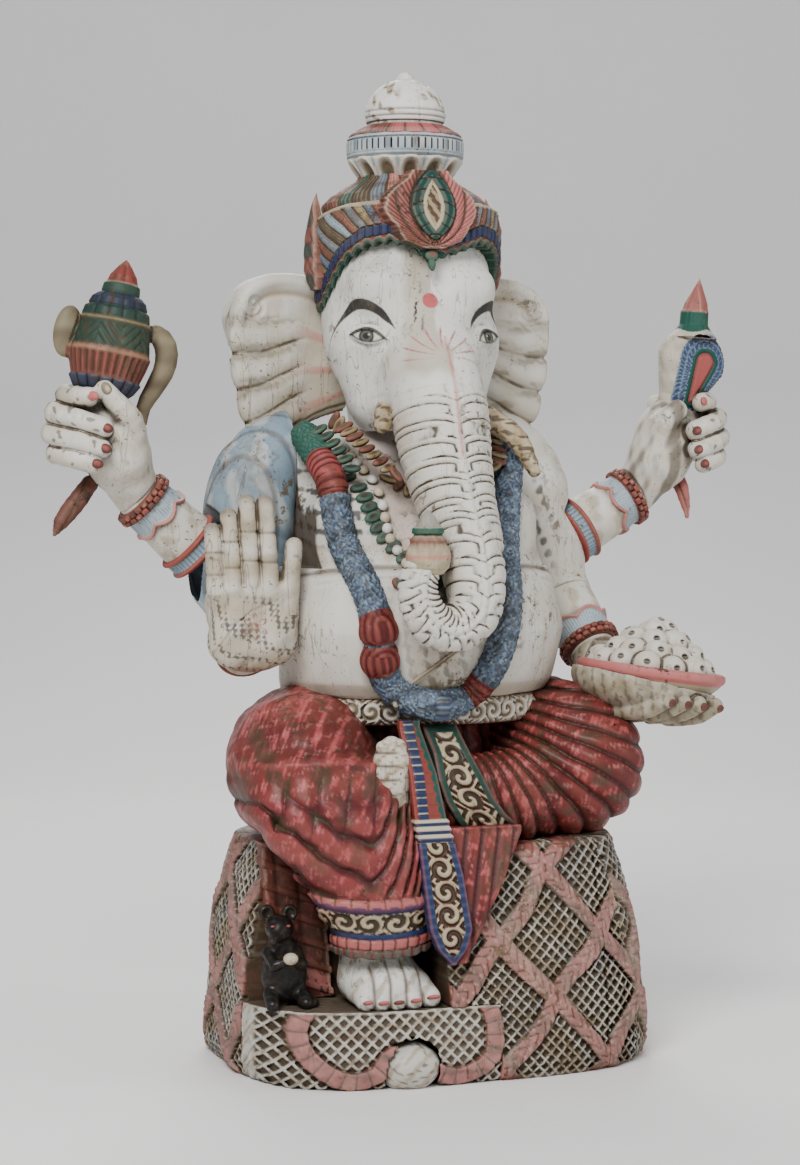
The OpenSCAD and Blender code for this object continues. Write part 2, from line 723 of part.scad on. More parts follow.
module trunk_sweet() color(whitewash) translate([-48, -belly_d / 2 - 92, z_neck - 142]) rotate_extrude()
    polygon([[0, 0], [15, 0], [19, 8], [20, 18], [17, 30], [14, 38], [14, 42], [10, 48], [4, 58], [0, 62]]);

module tusk_blank(s, grow) {
    root = [s * 50, -98, z_neck + 16];
    tip = s > 0 ? [88, -142, z_neck - 40] : [-60, -118, z_neck + 2];
    along(root, tip) cylinder(r1 = 11 + grow, r2 = (s > 0 ? 5 : 9) + grow, h = norm(tip - root));
}

module tusk(s) color(whitewash) tusk_blank(s, 0);

// ---- crown ----

jewel_y = crown_y - head_d / 2 + 12;
leaf_x = head_w / 2 + 2;

module crown_band() color(pink) difference() {
    skin([oval(z_brow, 0, crown_y, head_w / 2 + 6, head_d / 2 - 2), oval(z_brow + band_h * 0.5, 0, crown_y, head_w / 2 + 8, head_d / 2),
        oval(z_dome - 6, 0, crown_y, head_w / 2 + 2, head_d / 2 - 6), oval(z_dome, 0, crown_y, head_w / 2 - 6, head_d / 2 - 14)]);
    block([-far, -far, 0], [far, jewel_y, far]);
    for (s = [-1, 1]) block([s < 0 ? -far : leaf_x, -far, 0], [s < 0 ? -leaf_x : far, far, far]);
    crown_dowel(glue_gap);
    ornament_pins(glue_gap);
}

module crown_jewel() color(teal) difference() {
    translate([0, jewel_y, z_brow + 13]) rotate([90, 0, 0]) linear_extrude(height = 14)
        polygon([[0, -12], [14, 2], [34, 16], [40, 44], [24, 76], [8, 98], [0, 112], [-8, 98], [-24, 76], [-40, 44], [-34, 16], [-14, 2]]);
    ornament_pins(glue_gap);
}

module crown_leaf(s) color(pink) difference() {
    translate([s * leaf_x, crown_y + 4, z_brow + 4]) mirror([s < 0 ? 1 : 0, 0, 0]) rotate([90, 0, 90])
        linear_extrude(height = 9) polygon([[-14, 0], [14, 0], [18, 22], [12, 48], [0, 70], [-12, 48], [-18, 22]]);
    ornament_pins(glue_gap);
}

module crown_dome() color(red) difference() {
    translate([0, crown_y, z_dome]) rotate_extrude() polygon([[0, 0], [head_w / 2 - 8, 0], [head_w / 2 - 6, dome_h * 0.25],
        [ring_r + 8, dome_h * 0.62], [ring_r - 8, dome_h * 0.88], [ring_r - 14, dome_h], [0, dome_h]]);
    crown_dowel(glue_gap);
}

module crown_cup() color(whitewash) difference() {
    translate([0, crown_y, z_cup]) cylinder(r1 = ring_r - 15, r2 = ring_r - 3, h = cup_h);
    crown_dowel(glue_gap);
}

module crown_ring() color(blue) difference() {
    translate([0, crown_y, z_ring]) rotate_extrude() polygon([[0, 0], [ring_r - 3, 0], [ring_r, 3],
        [ring_r, ring_h - 3], [ring_r - 3, ring_h], [0, ring_h]]);
    crown_dowel(glue_gap);
}

module crown_cap() color(whitewash) difference() {
    translate([0, crown_y, z_cap]) rotate_extrude() polygon([[0, 0], [ring_r - 6, 0], [ring_r * 0.72, cap_h * 0.18],
        [ring_r * 0.64, cap_h * 0.24], [ring_r * 0.66, cap_h * 0.42], [ring_r * 0.56, cap_h * 0.6],
        [ring_r * 0.4, cap_h * 0.76], [ring_r * 0.2, cap_h * 0.88], [6, cap_h * 0.93], [4, cap_h], [0, cap_h]]);
    crown_dowel(glue_gap);
}

// ---- pieces that lift out of the raised fists ----

module peg(s) peg_frame(s) union() {
    translate([0, 0, -peg_down]) cylinder(r = peg_r, h = peg_down + collar_up + 1);
    translate([0, 0, collar_up + seat_gap]) cylinder(r = peg_r + 2, h = collar_t);
}

module conch() color(teal) union() {
    peg(-1);
    peg_frame(-1) translate([0, 0, collar_up + collar_t]) rotate_extrude() polygon([[0, 0], [conch_r * 0.3, 0],
        [conch_r * 0.66, conch_h * 0.13], [conch_r, conch_h * 0.38], [conch_r * 0.98, conch_h * 0.44], [conch_r * 0.8, conch_h * 0.7],
        [conch_r * 0.44, conch_h * 0.8], [conch_r * 0.4, conch_h * 0.86], [0, conch_h]]);
    peg_frame(-1) translate([0, 0, collar_up + collar_t]) for (x = [-1, 1])
        translate([x * (conch_r + 2), 6, conch_h * (x < 0 ? 0.55 : 0.3)]) sphere(r = 15);
}

module goad() color(whitewash) union() {
    peg(1);
    peg_frame(1) translate([0, 0, collar_up + collar_t]) {
        cylinder(r = peg_r + 2, h = 14);
        translate([0, 15, 0]) rotate([90, 0, 0]) linear_extrude(height = 30) hull() {
            translate([0, goad_w * 0.68]) circle(r = goad_w / 2, $fn = 40);
            translate([-6, 18]) circle(r = goad_w * 0.2, $fn = 32);
        }
        translate([0, 0, goad_w * 1.16]) cylinder(r = 12, h = 24);
        translate([0, 0, goad_w * 1.16 + 24]) cylinder(r1 = 12, r2 = 1, h = 36);
    }
}

// Carved leaf tail glued under a fist
module tassel(s) color(red) {
    peg_frame(s) translate([0, 0, -peg_down - 1]) mirror([0, 0, 1]) cylinder(r = peg_r, h = fist_low - peg_down + 4);
    c = fist[side(s)];
    tip = s < 0 ? [-40, -12, -88] : [4, -12, -76];
    intersection() {
        limb([[c + [0, 0, -fist_low + 2], 6], [c + [tip.x * 0.4, tip.y * 0.4, -fist_low - 12], 10],
            [c + tip, 7], [c + tip * 1.12, 2]], [0, 1, 0], 14);
        peg_frame(s) translate([0, 0, -far - fist_low - 0.2]) cylinder(r = far, h = far);
    }
}

seat_core();
seat_right_board();
seat_left_board();
foot_ledge();
foot_stone();
mouse();
hip_block();
right_leg();
right_foot();
left_leg();
left_foot();
sash_tail();
waist_belt();
torso();
shawl();
shoulder(-1);  // right_shoulder
shoulder(1);  // left_shoulder
rear_forearm(-1);  // rear_right_forearm
rear_forearm(1);  // rear_left_forearm
front_forearm(-1);  // front_right_forearm
front_forearm(1);  // front_left_forearm
armlet(-1);  // right_armlet
armlet(1);  // left_armlet
bangle(rear_elbow[0], rear_wrist[0], rear_start);  // rear_right_bangle
bangle(rear_elbow[1], rear_wrist[1], rear_start);  // rear_left_bangle
bangle(front_elbow[0], front_wrist[0], front_start);  // front_right_bangle
bangle(front_elbow[1], front_wrist[1], front_start);  // front_left_bangle
rear_fist(-1);  // rear_right_fist
rear_fist(1);  // rear_left_fist
front_right_hand();
right_thumb();
front_left_hand();
head();
ear(-1);  // right_ear
ear(1);  // left_ear
trunk();
trunk_sweet();
tusk(-1);  // right_tusk
tusk(1);  // left_tusk
crown_band();
crown_jewel();
crown_leaf(-1);  // crown_right_leaf
crown_leaf(1);  // crown_left_leaf
crown_dome();
crown_cup();
crown_ring();
crown_cap();
conch();
tassel(-1);  // conch_tassel
goad();
tassel(1);  // goad_tassel
bowl();
sweets();
color(wood) seat_dowels();
color(wood) body_dowels();
color(wood) arm_dowels();
color(wood) ear_dowels();
color(wood) crown_dowel();
color(wood) ornament_pins();
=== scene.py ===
# Looks of the seated idol: each block is sculpted in a distance field, painted by zones, then weathered,
# with painted shade and grime in its hollows.
import functools
import json
import math
import time
import bpy
import numpy as np
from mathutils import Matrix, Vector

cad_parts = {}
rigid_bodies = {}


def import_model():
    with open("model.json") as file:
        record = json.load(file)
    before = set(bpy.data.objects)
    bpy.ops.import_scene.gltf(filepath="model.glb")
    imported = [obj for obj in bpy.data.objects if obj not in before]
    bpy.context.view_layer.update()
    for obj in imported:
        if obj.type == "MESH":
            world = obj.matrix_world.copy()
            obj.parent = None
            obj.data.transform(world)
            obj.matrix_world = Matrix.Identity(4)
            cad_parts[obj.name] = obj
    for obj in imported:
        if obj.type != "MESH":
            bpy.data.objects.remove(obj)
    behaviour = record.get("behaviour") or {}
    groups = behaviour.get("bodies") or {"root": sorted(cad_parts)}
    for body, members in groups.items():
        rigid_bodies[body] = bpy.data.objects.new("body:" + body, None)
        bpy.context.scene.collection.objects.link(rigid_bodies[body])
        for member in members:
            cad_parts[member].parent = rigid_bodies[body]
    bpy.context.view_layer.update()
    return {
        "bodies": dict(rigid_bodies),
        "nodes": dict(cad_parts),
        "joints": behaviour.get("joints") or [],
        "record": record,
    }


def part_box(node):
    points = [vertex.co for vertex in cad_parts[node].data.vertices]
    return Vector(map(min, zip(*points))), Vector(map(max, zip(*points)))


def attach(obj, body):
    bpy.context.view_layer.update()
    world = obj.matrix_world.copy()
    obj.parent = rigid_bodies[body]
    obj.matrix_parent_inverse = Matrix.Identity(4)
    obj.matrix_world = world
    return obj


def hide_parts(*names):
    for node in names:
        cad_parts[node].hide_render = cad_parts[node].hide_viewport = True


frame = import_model()
started = time.time()

# linear colours of the worn paints
paints = {"chalk": (0.66, 0.645, 0.60), "cream": (0.52, 0.45, 0.33), "ochre": (0.30, 0.22, 0.12),
          "olive": (0.21, 0.18, 0.11), "umber": (0.085, 0.058, 0.036), "soot": (0.016, 0.014, 0.013),
          "red": (0.30, 0.065, 0.055), "brick": (0.20, 0.060, 0.045), "wine": (0.11, 0.022, 0.024),
          "pink": (0.48, 0.20, 0.18), "rose": (0.50, 0.13, 0.13), "teal": (0.014, 0.085, 0.070),
          "green": (0.030, 0.115, 0.080), "navy": (0.022, 0.035, 0.120), "blue": (0.095, 0.150, 0.230),
          "sky": (0.27, 0.36, 0.42), "slate": (0.16, 0.20, 0.24), "stone": (0.35, 0.32, 0.25),
          "wood": (0.24, 0.16, 0.09)}
paints = {name: np.array(rgb, np.float32) for name, rgb in paints.items()}


# places from the frame, in millimetres
def spot(node, fx=0.5, fy=0.5, fz=0.5):
    low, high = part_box(node)
    return np.array([(a + (b - a) * f) * 1000 for a, b, f in zip(low, high, (fx, fy, fz))])


def roomFor(node, below, above):  # corners of a node's box, with room to spare
    return spot(node, 0, 0, 0) - below, spot(node, 1, 1, 1) + above


# distance field kit: p holds rows of x, y and z, a field is below zero inside
def far(*parts):
    total = parts[0] * parts[0]
    for part in parts[1:]:
        total = total + part * part
    return np.sqrt(total)


def ball(p, at, r):
    return far(p[0] - at[0], p[1] - at[1], p[2] - at[2]) - r


def egg(p, at, r):
    q = [(p[i] - at[i]) / r[i] for i in range(3)]
    k = far(*q)
    return k * (k - 1) / most(far(q[0] / r[0], q[1] / r[1], q[2] / r[2]), 1e-6)


def stick(p, a, b, ra, rb=None):
    rb = ra if rb is None else rb
    d = np.subtract(b, a).astype(float)
    t = np.clip(((p[0] - a[0]) * d[0] + (p[1] - a[1]) * d[1] + (p[2] - a[2]) * d[2]) / d.dot(d), 0, 1)
    return (far(p[0] - a[0] - t * d[0], p[1] - a[1] - t * d[1], p[2] - a[2] - t * d[2])
            - (ra + (rb - ra) * t))


def slab(p, at, way):
    way = np.array(way, float) / np.linalg.norm(way)
    return (p[0] - at[0]) * way[0] + (p[1] - at[1]) * way[1] + (p[2] - at[2]) * way[2]


def brick(p, at, half, soft=0.0):
    q = [abs(p[i] - at[i]) - half[i] + soft for i in range(3)]
    return far(*[most(a, 0) for a in q]) + least(most(q[0], q[1], q[2]), 0) - soft


def join(a, b, k):
    h = np.clip(0.5 + 0.5 * (b - a) / k, 0, 1)
    return b + (a - b) * h - k * h * (1 - h)


def both(a, b, k=0.5):
    return -join(-a, -b, k)


def carve(a, b, k=0.5):
    return -join(-a, b, k)


def gather(fields, k):
    total = fields[0]
    for f in fields[1:]:
        total = join(total, f, k)
    return total


def most(*fields):
    return functools.reduce(np.maximum, fields)


def least(*fields):
    return functools.reduce(np.minimum, fields)


def arches(x):  # a row of humps from 0 to 1
    return abs(np.sin(x))


def step(x, a, b):
    t = np.clip((x - a) / (b - a), 0, 1)
    return t * t * (3 - 2 * t)


def bump(x, width):
    return np.exp(-(x / width) ** 2)


def curve(points, n):  # smooth run of n points through a few
    pts = np.array(points, float)
    pts = np.vstack([2 * pts[0] - pts[1], pts, 2 * pts[-1] - pts[-2]])
    out = []
    for s in np.linspace(0, len(pts) - 3 - 1e-9, n):
        i = int(s)
        t = s - i
        a, b, c, d = pts[i:i + 4]
        out.append(0.5 * (2 * b + (c - a) * t + (2 * a - 5 * b + 4 * c - d) * t * t
                          + (3 * b - a - 3 * c + d) * t ** 3))
    return np.array(out)


def unitRows(rows):
    return rows / np.linalg.norm(rows, axis=1)[:, None]


# path rows are x, y, z, radius; gives distance, run along it and angle round it
def rope(p, path, front=(0, -1, 0)):
    pts = path[:, :3]
    ways = unitRows(np.gradient(pts, axis=0))
    faces = unitRows(np.array(front, float) - ways * (ways @ np.array(front, float))[:, None])
    sides = np.cross(ways, faces)
    best = np.full(p[0].shape, 1e9, np.float32)
    run = np.zeros_like(best)
    turn = np.zeros_like(best)
    gone = 0.0
    for i in range(len(path) - 1):
        a = sum((p[k] - pts[i, k]) * ways[i, k] for k in range(3))
        b = sum((pts[i + 1, k] - p[k]) * ways[i + 1, k] for k in range(3))
        t = np.where(a <= 0, 0.0, np.where(b <= 0, 1.0, a / most(a + b, 1e-6)))
        v = [p[k] - pts[i, k] - (pts[i + 1, k] - pts[i, k]) * t for k in range(3)]
        here = far(*v) - (path[i, 3] + (path[i + 1, 3] - path[i, 3]) * t)
        x = sum(v[k] * (sides[i, k] + (sides[i + 1, k] - sides[i, k]) * t) for k in range(3))
        y = sum(v[k] * (faces[i, k] + (faces[i + 1, k] - faces[i, k]) * t) for k in range(3))
        size = np.linalg.norm(pts[i + 1] - pts[i])
        nearer = here < best
        best = np.where(nearer, here, best)
        run = np.where(nearer, gone + t * size, run)
        turn = np.where(nearer, np.arctan2(x, y), turn)
        gone += size
    return best, run, turn


def stack(p, levels, square=2.0):  # levels rows are z, x, y, half width, half depth
    levels = np.array(levels, float)
    cx, cy, rx, ry = [np.interp(p[2], levels[:, 0], levels[:, i]) for i in (1, 2, 3, 4)]
    k = (abs((p[0] - cx) / rx) ** square + abs((p[1] - cy) / ry) ** square) ** (1 / square)
    side = (k - 1) * least(rx, ry)
    return both(side, most(p[2] - levels[-1, 0], levels[0, 0] - p[2]), 4)


def ripple(p, size, seed=1):  # gentle unevenness from -1 to 1
    rng = np.random.RandomState(seed)
    total = 0
    for k in range(5):
        way = rng.normal(size=3)
        way = way / np.linalg.norm(way) * 2 * math.pi / size * (1 + 0.45 * k)
        total = (total + np.sin(p[0] * way[0] + p[1] * way[1] + p[2] * way[2] + rng.uniform(0, 6.28))
                 / (1 + k))
    return total / 2.3


def turned(p, at, degrees):  # looks at p in axes turned about a vertical line
    c, s = math.cos(math.radians(degrees)), math.sin(math.radians(degrees))
    x, y = p[0] - at[0], p[1] - at[1]
    return [at[0] + c * x + s * y, at[1] - s * x + c * y, p[2]]


def laid(p, at, way, front=(0, -1, 0)):  # p in a frame at a point: across, out of the front, along way
    along = np.array(way, float) / np.linalg.norm(way)
    out = np.array(front, float) - along * np.dot(front, along)
    out = out / np.linalg.norm(out)
    across = np.cross(along, out)
    v = [p[i] - at[i] for i in range(3)]
    return [v[0] * axis[0] + v[1] * axis[1] + v[2] * axis[2] for axis in (across, out, along)]


# from field to mesh
def quadsOf(field, low, high, cell):
    size = 8
    low = np.array(low, float)
    blocks = np.ceil((np.array(high) - low) / (cell * size)).astype(int)
    grid = np.stack(np.meshgrid(*[np.arange(n) for n in blocks], indexing="ij")).reshape(3, -1)
    mids = (low[:, None] + (grid + 0.5) * size * cell).astype(np.float32)
    live = grid[:, abs(field(mids)) < cell * size * 0.95 + 4]
    inner = np.stack(np.meshgrid(*[np.arange(size)] * 3, indexing="ij")).reshape(3, -1)
    index = (live[:, :, None] * size + inner[:, None, :]).reshape(3, -1)
    shape = blocks * size + 2
    values = np.full(shape, np.nan, np.float32)
    for i in range(0, index.shape[1], 400000):
        part = index[:, i:i + 400000]
        values[tuple(part)] = field((low[:, None] + part * cell).astype(np.float32))
    values = values.ravel()
    hop = np.array([shape[1] * shape[2], shape[2], 1])
    base = index[0] * hop[0] + index[1] * hop[1] + index[2]
    corners = [(i, j, k) for i in (0, 1) for j in (0, 1) for k in (0, 1)]
    cube = {c: values[base + np.dot(c, hop)] for c in corners}
    inside = sum((v < 0).astype(np.int8) for v in cube.values())
    whole = ~np.isnan(sum(cube.values()))
    crossing = (inside > 0) & (inside < 8) & whole
    base, index = base[crossing], index[:, crossing]
    cube = {c: v[crossing] for c, v in cube.items()}
    total, count = np.zeros((3, len(base))), np.zeros(len(base))
    for c in corners:
        for axis in range(3):
            if c[axis]:
                continue
            d = list(c)
            d[axis] = 1
            a, b = cube[c], cube[tuple(d)]
            cut = (a < 0) != (b < 0)
            t = np.where(cut, a / np.where(cut, a - b, 1), 0)
            for i in range(3):
                total[i] += np.where(cut, c[i] + (t if i == axis else 0), 0)
            count += cut
    points = low[:, None] + (index + total / count) * cell
    number = np.full(values.shape, -1, np.int32)
    number[base] = np.arange(len(base))
    faces = []
    for axis in range(3):
        one, two = hop[(axis + 1) % 3], hop[(axis + 2) % 3]
        a, b = values[base], values[base + hop[axis]]
        for flip, edge in ((False, (a < 0) & (b >= 0)), (True, (a >= 0) & (b < 0))):
            at = base[edge]
            quad = np.stack([number[at], number[at - one], number[at - one - two], number[at - two]], 1)
            quad = quad[(quad >= 0).all(1)]
            faces.append(quad[:, ::-1] if flip else quad)
    return points.astype(np.float32), np.vstack(faces)


def slope(field, p, h=0.6):
    g = []
    for i in range(3):
        q = [c + (h if k == i else 0) for k, c in enumerate(p)]
        r = [c - (h if k == i else 0) for k, c in enumerate(p)]
        g.append((field(q) - field(r)) / (2 * h))
    size = most(far(*g), 0.2)
    return [a / size for a in g], size


def tint(p, name):  # one paint over every point
    return np.repeat(paints[name][:, None], len(p[0]), 1)


def lay(colour, over, mask):  # a paint, or an array of colours, over another where mask is 1
    over = paints[over][:, None] if isinstance(over, str) else over
    return colour + (over - colour) * np.clip(mask, 0, 1)


def coats(colour, *layers):  # paints laid one after another, each with its mask
    for over, mask in layers:
        colour = lay(colour, over, mask)
    return colour


def putMesh(name, points, faces, layers):
    mesh = bpy.data.meshes.new(name)
    mesh.from_pydata(points.T * 0.001, [], faces)
    mesh.polygons.foreach_set("use_smooth", np.ones(len(mesh.polygons), bool))
    for layer, values in layers.items():
        if len(values) == 3:
            rows = np.ones((len(mesh.vertices), 4), np.float32)
            rows[:, :3] = values.T
            mesh.color_attributes.new(layer, "FLOAT_COLOR", "POINT").data.foreach_set("color", rows.ravel())
        else:
            mesh.attributes.new(layer, "FLOAT", "POINT").data.foreach_set("value",
                values[0].astype(np.float32))
    piece = bpy.data.objects.new(name, mesh)
    bpy.context.scene.collection.objects.link(piece)
    return piece


def sculpt(name, field, low, high, cell, paint, material, body="idol", nodes=(), slot=None, whole=None):
    cell = cell * 1
    points, faces = quadsOf(field, np.array(low) - 3 * cell, np.array(high) + 3 * cell, cell)
    p = [points[0], points[1], points[2]]
    way, _ = slope(field, p)
    off = np.clip(field(p), -cell, cell)
    p = [a - w * off for a, w in zip(p, way)]
    if whole:
        field = whole
        way, _ = slope(field, p)
    # painted shade and grime: darker where the room outside the surface is closed in, in hollows, creases
    # and between parts
    near = np.clip(field([a + w * 3 for a, w in zip(p, way)]) / 3, 0, 1)
    wide = np.clip(field([a + w * 11 for a, w in zip(p, way)]) / 11, 0, 1)
    deep = np.clip(-field([a - w * 4 for a, w in zip(p, way)]) / 4, 0, 1)
    layers = {"Paint": np.clip(paint(p, way), 0, 1), "Grime": [1 - 0.6 * near - 0.4 * wide],
              "Worn": [1 - deep]}
    piece = putMesh(name, np.stack(p), faces, layers)
    piece.data.materials.append(material)
    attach(piece, body)
    if nodes:
        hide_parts(*nodes)
    print(f"{name}: {len(faces)} faces, {time.time() - started:.1f} s")
    return piece


def onto(field, x, z, y=-300.0):  # where a line running back from the front meets a surface
    x, z = np.asarray(x, float), np.asarray(z, float)
    y = np.full(x.shape, y, float)
    for _ in range(90):
        y = y + np.clip(field([x, y, z]), -6, 14) * 0.75
    return y


def scroll(s, h, pitch, tall):  # running scrollwork from -1 to 1 along s, within plus and minus tall
    n = np.floor(s / pitch)
    u = s - (n + 0.5) * pitch
    way = np.where(n % 2 == 0, 1.0, -1.0)
    r = far(u, h)
    curlLine = np.cos(r / pitch * 13 - way * np.arctan2(h, u) * 1.0)
    leaf = np.cos((u * way + h) / pitch * 16)
    return np.where(r < min(pitch * 0.52, tall * 1.1), curlLine, leaf)


def mixed(colours, keys):  # one colour per key from a few names
    table = np.stack([paints[c] for c in colours], 1)
    return table[:, np.asarray(keys, int) % len(colours)]


def scatter(a, b, seed=1):  # steady random number from 0 to 1 for whole numbers a and b
    return np.modf(arches(a * 12.9898 + b * 78.233 + seed * 3.7) * 43758.5453)[0]


def studs(name, at, way, out, size, colours, material, body="idol", eye=None, square=2.0, dent=0.0,
          detail=10):
    at, way, out = np.array(at, float), unitRows(np.array(way, float)), np.array(out, float)
    out = unitRows(out - way * np.sum(out * way, 1)[:, None])
    across = np.cross(way, out)
    size = np.broadcast_to(np.array(size, float), at.shape)
    rows, cols = detail, detail * 2
    tilt = np.linspace(0, math.pi, rows + 1)[1:-1]
    spin = np.arange(cols) * 2 * math.pi / cols
    power = 2 / square
    flat = lambda v: np.sign(v) * abs(v) ** power
    ring = np.stack([np.outer(np.sin(tilt) ** (power if square > 2 else 1), flat(np.cos(spin))).ravel(),
                     np.outer(np.sin(tilt) ** (power if square > 2 else 1), flat(np.sin(spin))).ravel(),
                     np.repeat(flat(np.cos(tilt)), cols)], 1)
    base = np.vstack([[0, 0, 1], ring, [0, 0, -1]])
    radial = np.hypot(base[:, 0], base[:, 1])
    base[:, 2] -= dent * np.exp(-(radial / 0.5) ** 2) * (base[:, 2] > 0)
    last = len(base) - 1
    quads = [(1 + r * cols + c, 1 + (r + 1) * cols + c, 1 + (r + 1) * cols + (c + 1) % cols,
              1 + r * cols + (c + 1) % cols) for r in range(rows - 2) for c in range(cols)]
    tips = [(0, 1 + c, 1 + (c + 1) % cols) for c in range(cols)]
    tips += [(last, last - cols + (c + 1) % cols, last - cols + c) for c in range(cols)]
    points, faces, paint, hollowShadeAndGrime = [], [], [], []
    for i in range(len(at)):
        points.append(at[i] + np.outer(base[:, 0] * size[i, 0], way[i])
                      + np.outer(base[:, 1] * size[i, 1], across[i])
                      + np.outer(base[:, 2] * size[i, 2], out[i]))
        faces += [tuple(v + i * len(base) for v in f) for f in quads + tips]
        rim = paints[colours[i % len(colours)]]
        middle = paints[eye[i % len(eye)]] if eye else rim
        share = step(radial, 0.62, 0.45)[:, None] * (base[:, 2:3] > 0)
        paint.append(rim * (1 - share) + middle * share)
        # painted shade and grime on each stud's back, where it meets the surface, and in the ring round its
        # dent
        hollowShadeAndGrime.append(step(base[:, 2], 0.55, -0.35) * 0.9 + (dent > 0) * 0.5 * bump(radial - 0.58, 0.12)
                     * (base[:, 2] > 0))
    points, paint, hollowShadeAndGrime = np.vstack(points), np.vstack(paint), np.hstack(hollowShadeAndGrime)
    piece = putMesh(name, points.T, faces, {"Paint": paint.T, "Grime": [hollowShadeAndGrime],
        "Worn": [np.full(len(points), 0.35)]})
    piece.data.materials.append(material)
    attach(piece, body)
    print(f"{name}: {len(at)} studs")
    return piece


# materials
class Wire:  # a socket that takes part in sums
    def __init__(self, bench, socket):
        self.bench, self.socket = bench, socket

    def sum(self, operation, *others):
        return self.bench.node("ShaderNodeMath", {"operation": operation},
                               {i: v for i, v in enumerate(others)})

    def __add__(self, other):

        return self.sum("ADD", self, other)

    def __radd__(self, other):
        return self.sum("ADD", other, self)

    def __sub__(self, other):
        return self.sum("SUBTRACT", self, other)

    def __rsub__(self, other):
        return self.sum("SUBTRACT", other, self)

    def __mul__(self, other):
        return self.sum("MULTIPLY", self, other)

    def __rmul__(self, other):
        return self.sum("MULTIPLY", other, self)

    def __truediv__(self, other):
        return self.sum("DIVIDE", self, other)

    def __pow__(self, other):
        return self.sum("POWER", self, other)

    def __abs__(self):
        return self.sum("ABSOLUTE", self)


class Bench:  # one material's nodes
    def __init__(self, name):
        self.material = bpy.data.materials.new(name)
        self.material.use_nodes = True
        self.tree = self.material.node_tree
        self.tree.nodes.clear()

    def node(self, kind, settings=None, inputs=None, out=0):
        made = self.tree.nodes.new(kind)
        for key, value in (settings or {}).items():
            if key == "stops":
                for i, (at, level) in enumerate(value):
                    stop = made.color_ramp.elements[i] if i < 2 else made.color_ramp.elements.new(at)
                    stop.position, stop.color = at, (level, level, level, 1)
            else:
                setattr(made, key, value)
        for key, value in (inputs or {}).items():
            if isinstance(value, Wire):
                self.tree.links.new(value.socket, made.inputs[key])
            else:
                made.inputs[key].default_value = value
        return Wire(self, made.outputs[out]) if made.outputs else None

    def read(self, name, out="Fac"):
        return self.node("ShaderNodeAttribute", {"attribute_name": name}, out=out)

    def mix(self, factor, a, b, blend="MIX"):
        return self.node("ShaderNodeMix", {"data_type": "RGBA", "blend_type": blend},
                         {0: factor, 6: a, 7: b}, out=2)

    def noise(self, where, scale, detail=4.0, rough=0.6, lacunarity=2.0):
        return self.node("ShaderNodeTexNoise", {}, {"Vector": where, "Scale": scale, "Detail": detail,
            "Roughness": rough, "Lacunarity": lacunarity})

    def between(self, value, a, b):  # 0 to 1 as value runs from a to b
        return self.node("ShaderNodeMapRange", {"interpolation_type": "SMOOTHSTEP"},
                         {0: value, 1: a, 2: b, 3: 0.0, 4: 1.0})


def rgba(colour):
    return tuple(float(c) for c in (paints[colour] if isinstance(colour, str) else colour)) + (1.0,)


def weathered(name, stain=0.5, chips=0.5, hairs=0.5, rough=0.62, under="ochre", edge="chalk",
              edgeShare=0.3, relief=1.0, plain=None):
    b = Bench(name)
    place = b.node("ShaderNodeTexCoord", out="Object")
    long = b.node("ShaderNodeMapping", {}, {"Vector": place, "Scale": (1.0, 1.0, 0.25)})
    hairy = b.node("ShaderNodeMapping", {}, {"Vector": place, "Scale": (1.0, 1.0, 0.09)})
    colour = b.mix(0.5, rgba(plain), rgba("umber")) if plain else b.read("Paint", "Color")
    hollowShadeAndGrime, worn = b.read("Grime"), b.read("Worn")
    broad = b.noise(place, 7.0, 5.0, 0.62)
    streak = b.noise(long, 26.0, 6.0, 0.68)
    fine = b.noise(place, 110.0, 5.0, 0.72)
    grit = b.noise(place, 430.0, 3.0, 0.6)
    wash = b.between(broad * 0.5 + streak * 0.5, 0.49, 0.64) * stain
    dull = b.mix(b.between(fine, 0.35, 0.65), rgba("olive"), rgba("cream"))
    colour = b.mix(wash * 0.55, colour, dull)
    colour = b.mix(b.between(streak, 0.42, 0.30) * 0.30 * stain, colour, rgba("cream"))
    colour = b.mix(b.between(worn + fine * 0.25, 0.30, 0.62) * edgeShare, colour, rgba(edge))
    zone = b.between(b.noise(place, 11.0, 3.0, 0.6), 0.53 - 0.06 * chips, 0.66)
    blotch = b.between(b.noise(place, 70.0, 6.0, 0.74), 0.59 - 0.05 * chips, 0.625 - 0.05 * chips) * zone
    colour = b.mix(blotch * 0.85, colour, b.mix(grit, rgba(under), rgba("soot")))
    specks = (b.between(b.noise(place, 240.0, 2.0, 0.5), 0.69 - 0.03 * chips, 0.72 - 0.03 * chips)
              * b.between(broad, 0.40, 0.60))
    colour = b.mix(specks * 0.75, colour, rgba("umber"))
    thread = (b.between(abs(b.noise(hairy, 75.0, 2.0, 0.5) - 0.5), 0.012, 0.003)
              * b.between(broad, 0.44, 0.60) * hairs)
    colour = b.mix(thread * 0.5, colour, rgba("umber"))
    # painted shade and grime in the hollows, from the mesh attribute, broken up by fine noise
    shadeAndGrimeMix = b.between(hollowShadeAndGrime + (fine - 0.5) * 0.24, 0.26, 0.74)
    colour = b.mix(shadeAndGrimeMix * 0.86, colour, rgba("umber"))
    bumps = ((fine * 0.34 + grit * 0.14 + streak * 0.45 - blotch * 0.55 - specks * 0.25 - thread * 0.3)
             * relief)
    normal = b.node("ShaderNodeBump", {}, {"Strength": 0.55, "Distance": 0.0011, "Height": bumps})
    shine = rough + wash * 0.12 + blotch * 0.12 - fine * 0.14
    shader = b.node("ShaderNodeBsdfPrincipled", {}, {"Base Color": colour, "Roughness": shine,
        "Normal": normal, "Specular IOR Level": 0.35})
    b.node("ShaderNodeOutputMaterial", {}, {"Surface": shader})
    return b.material


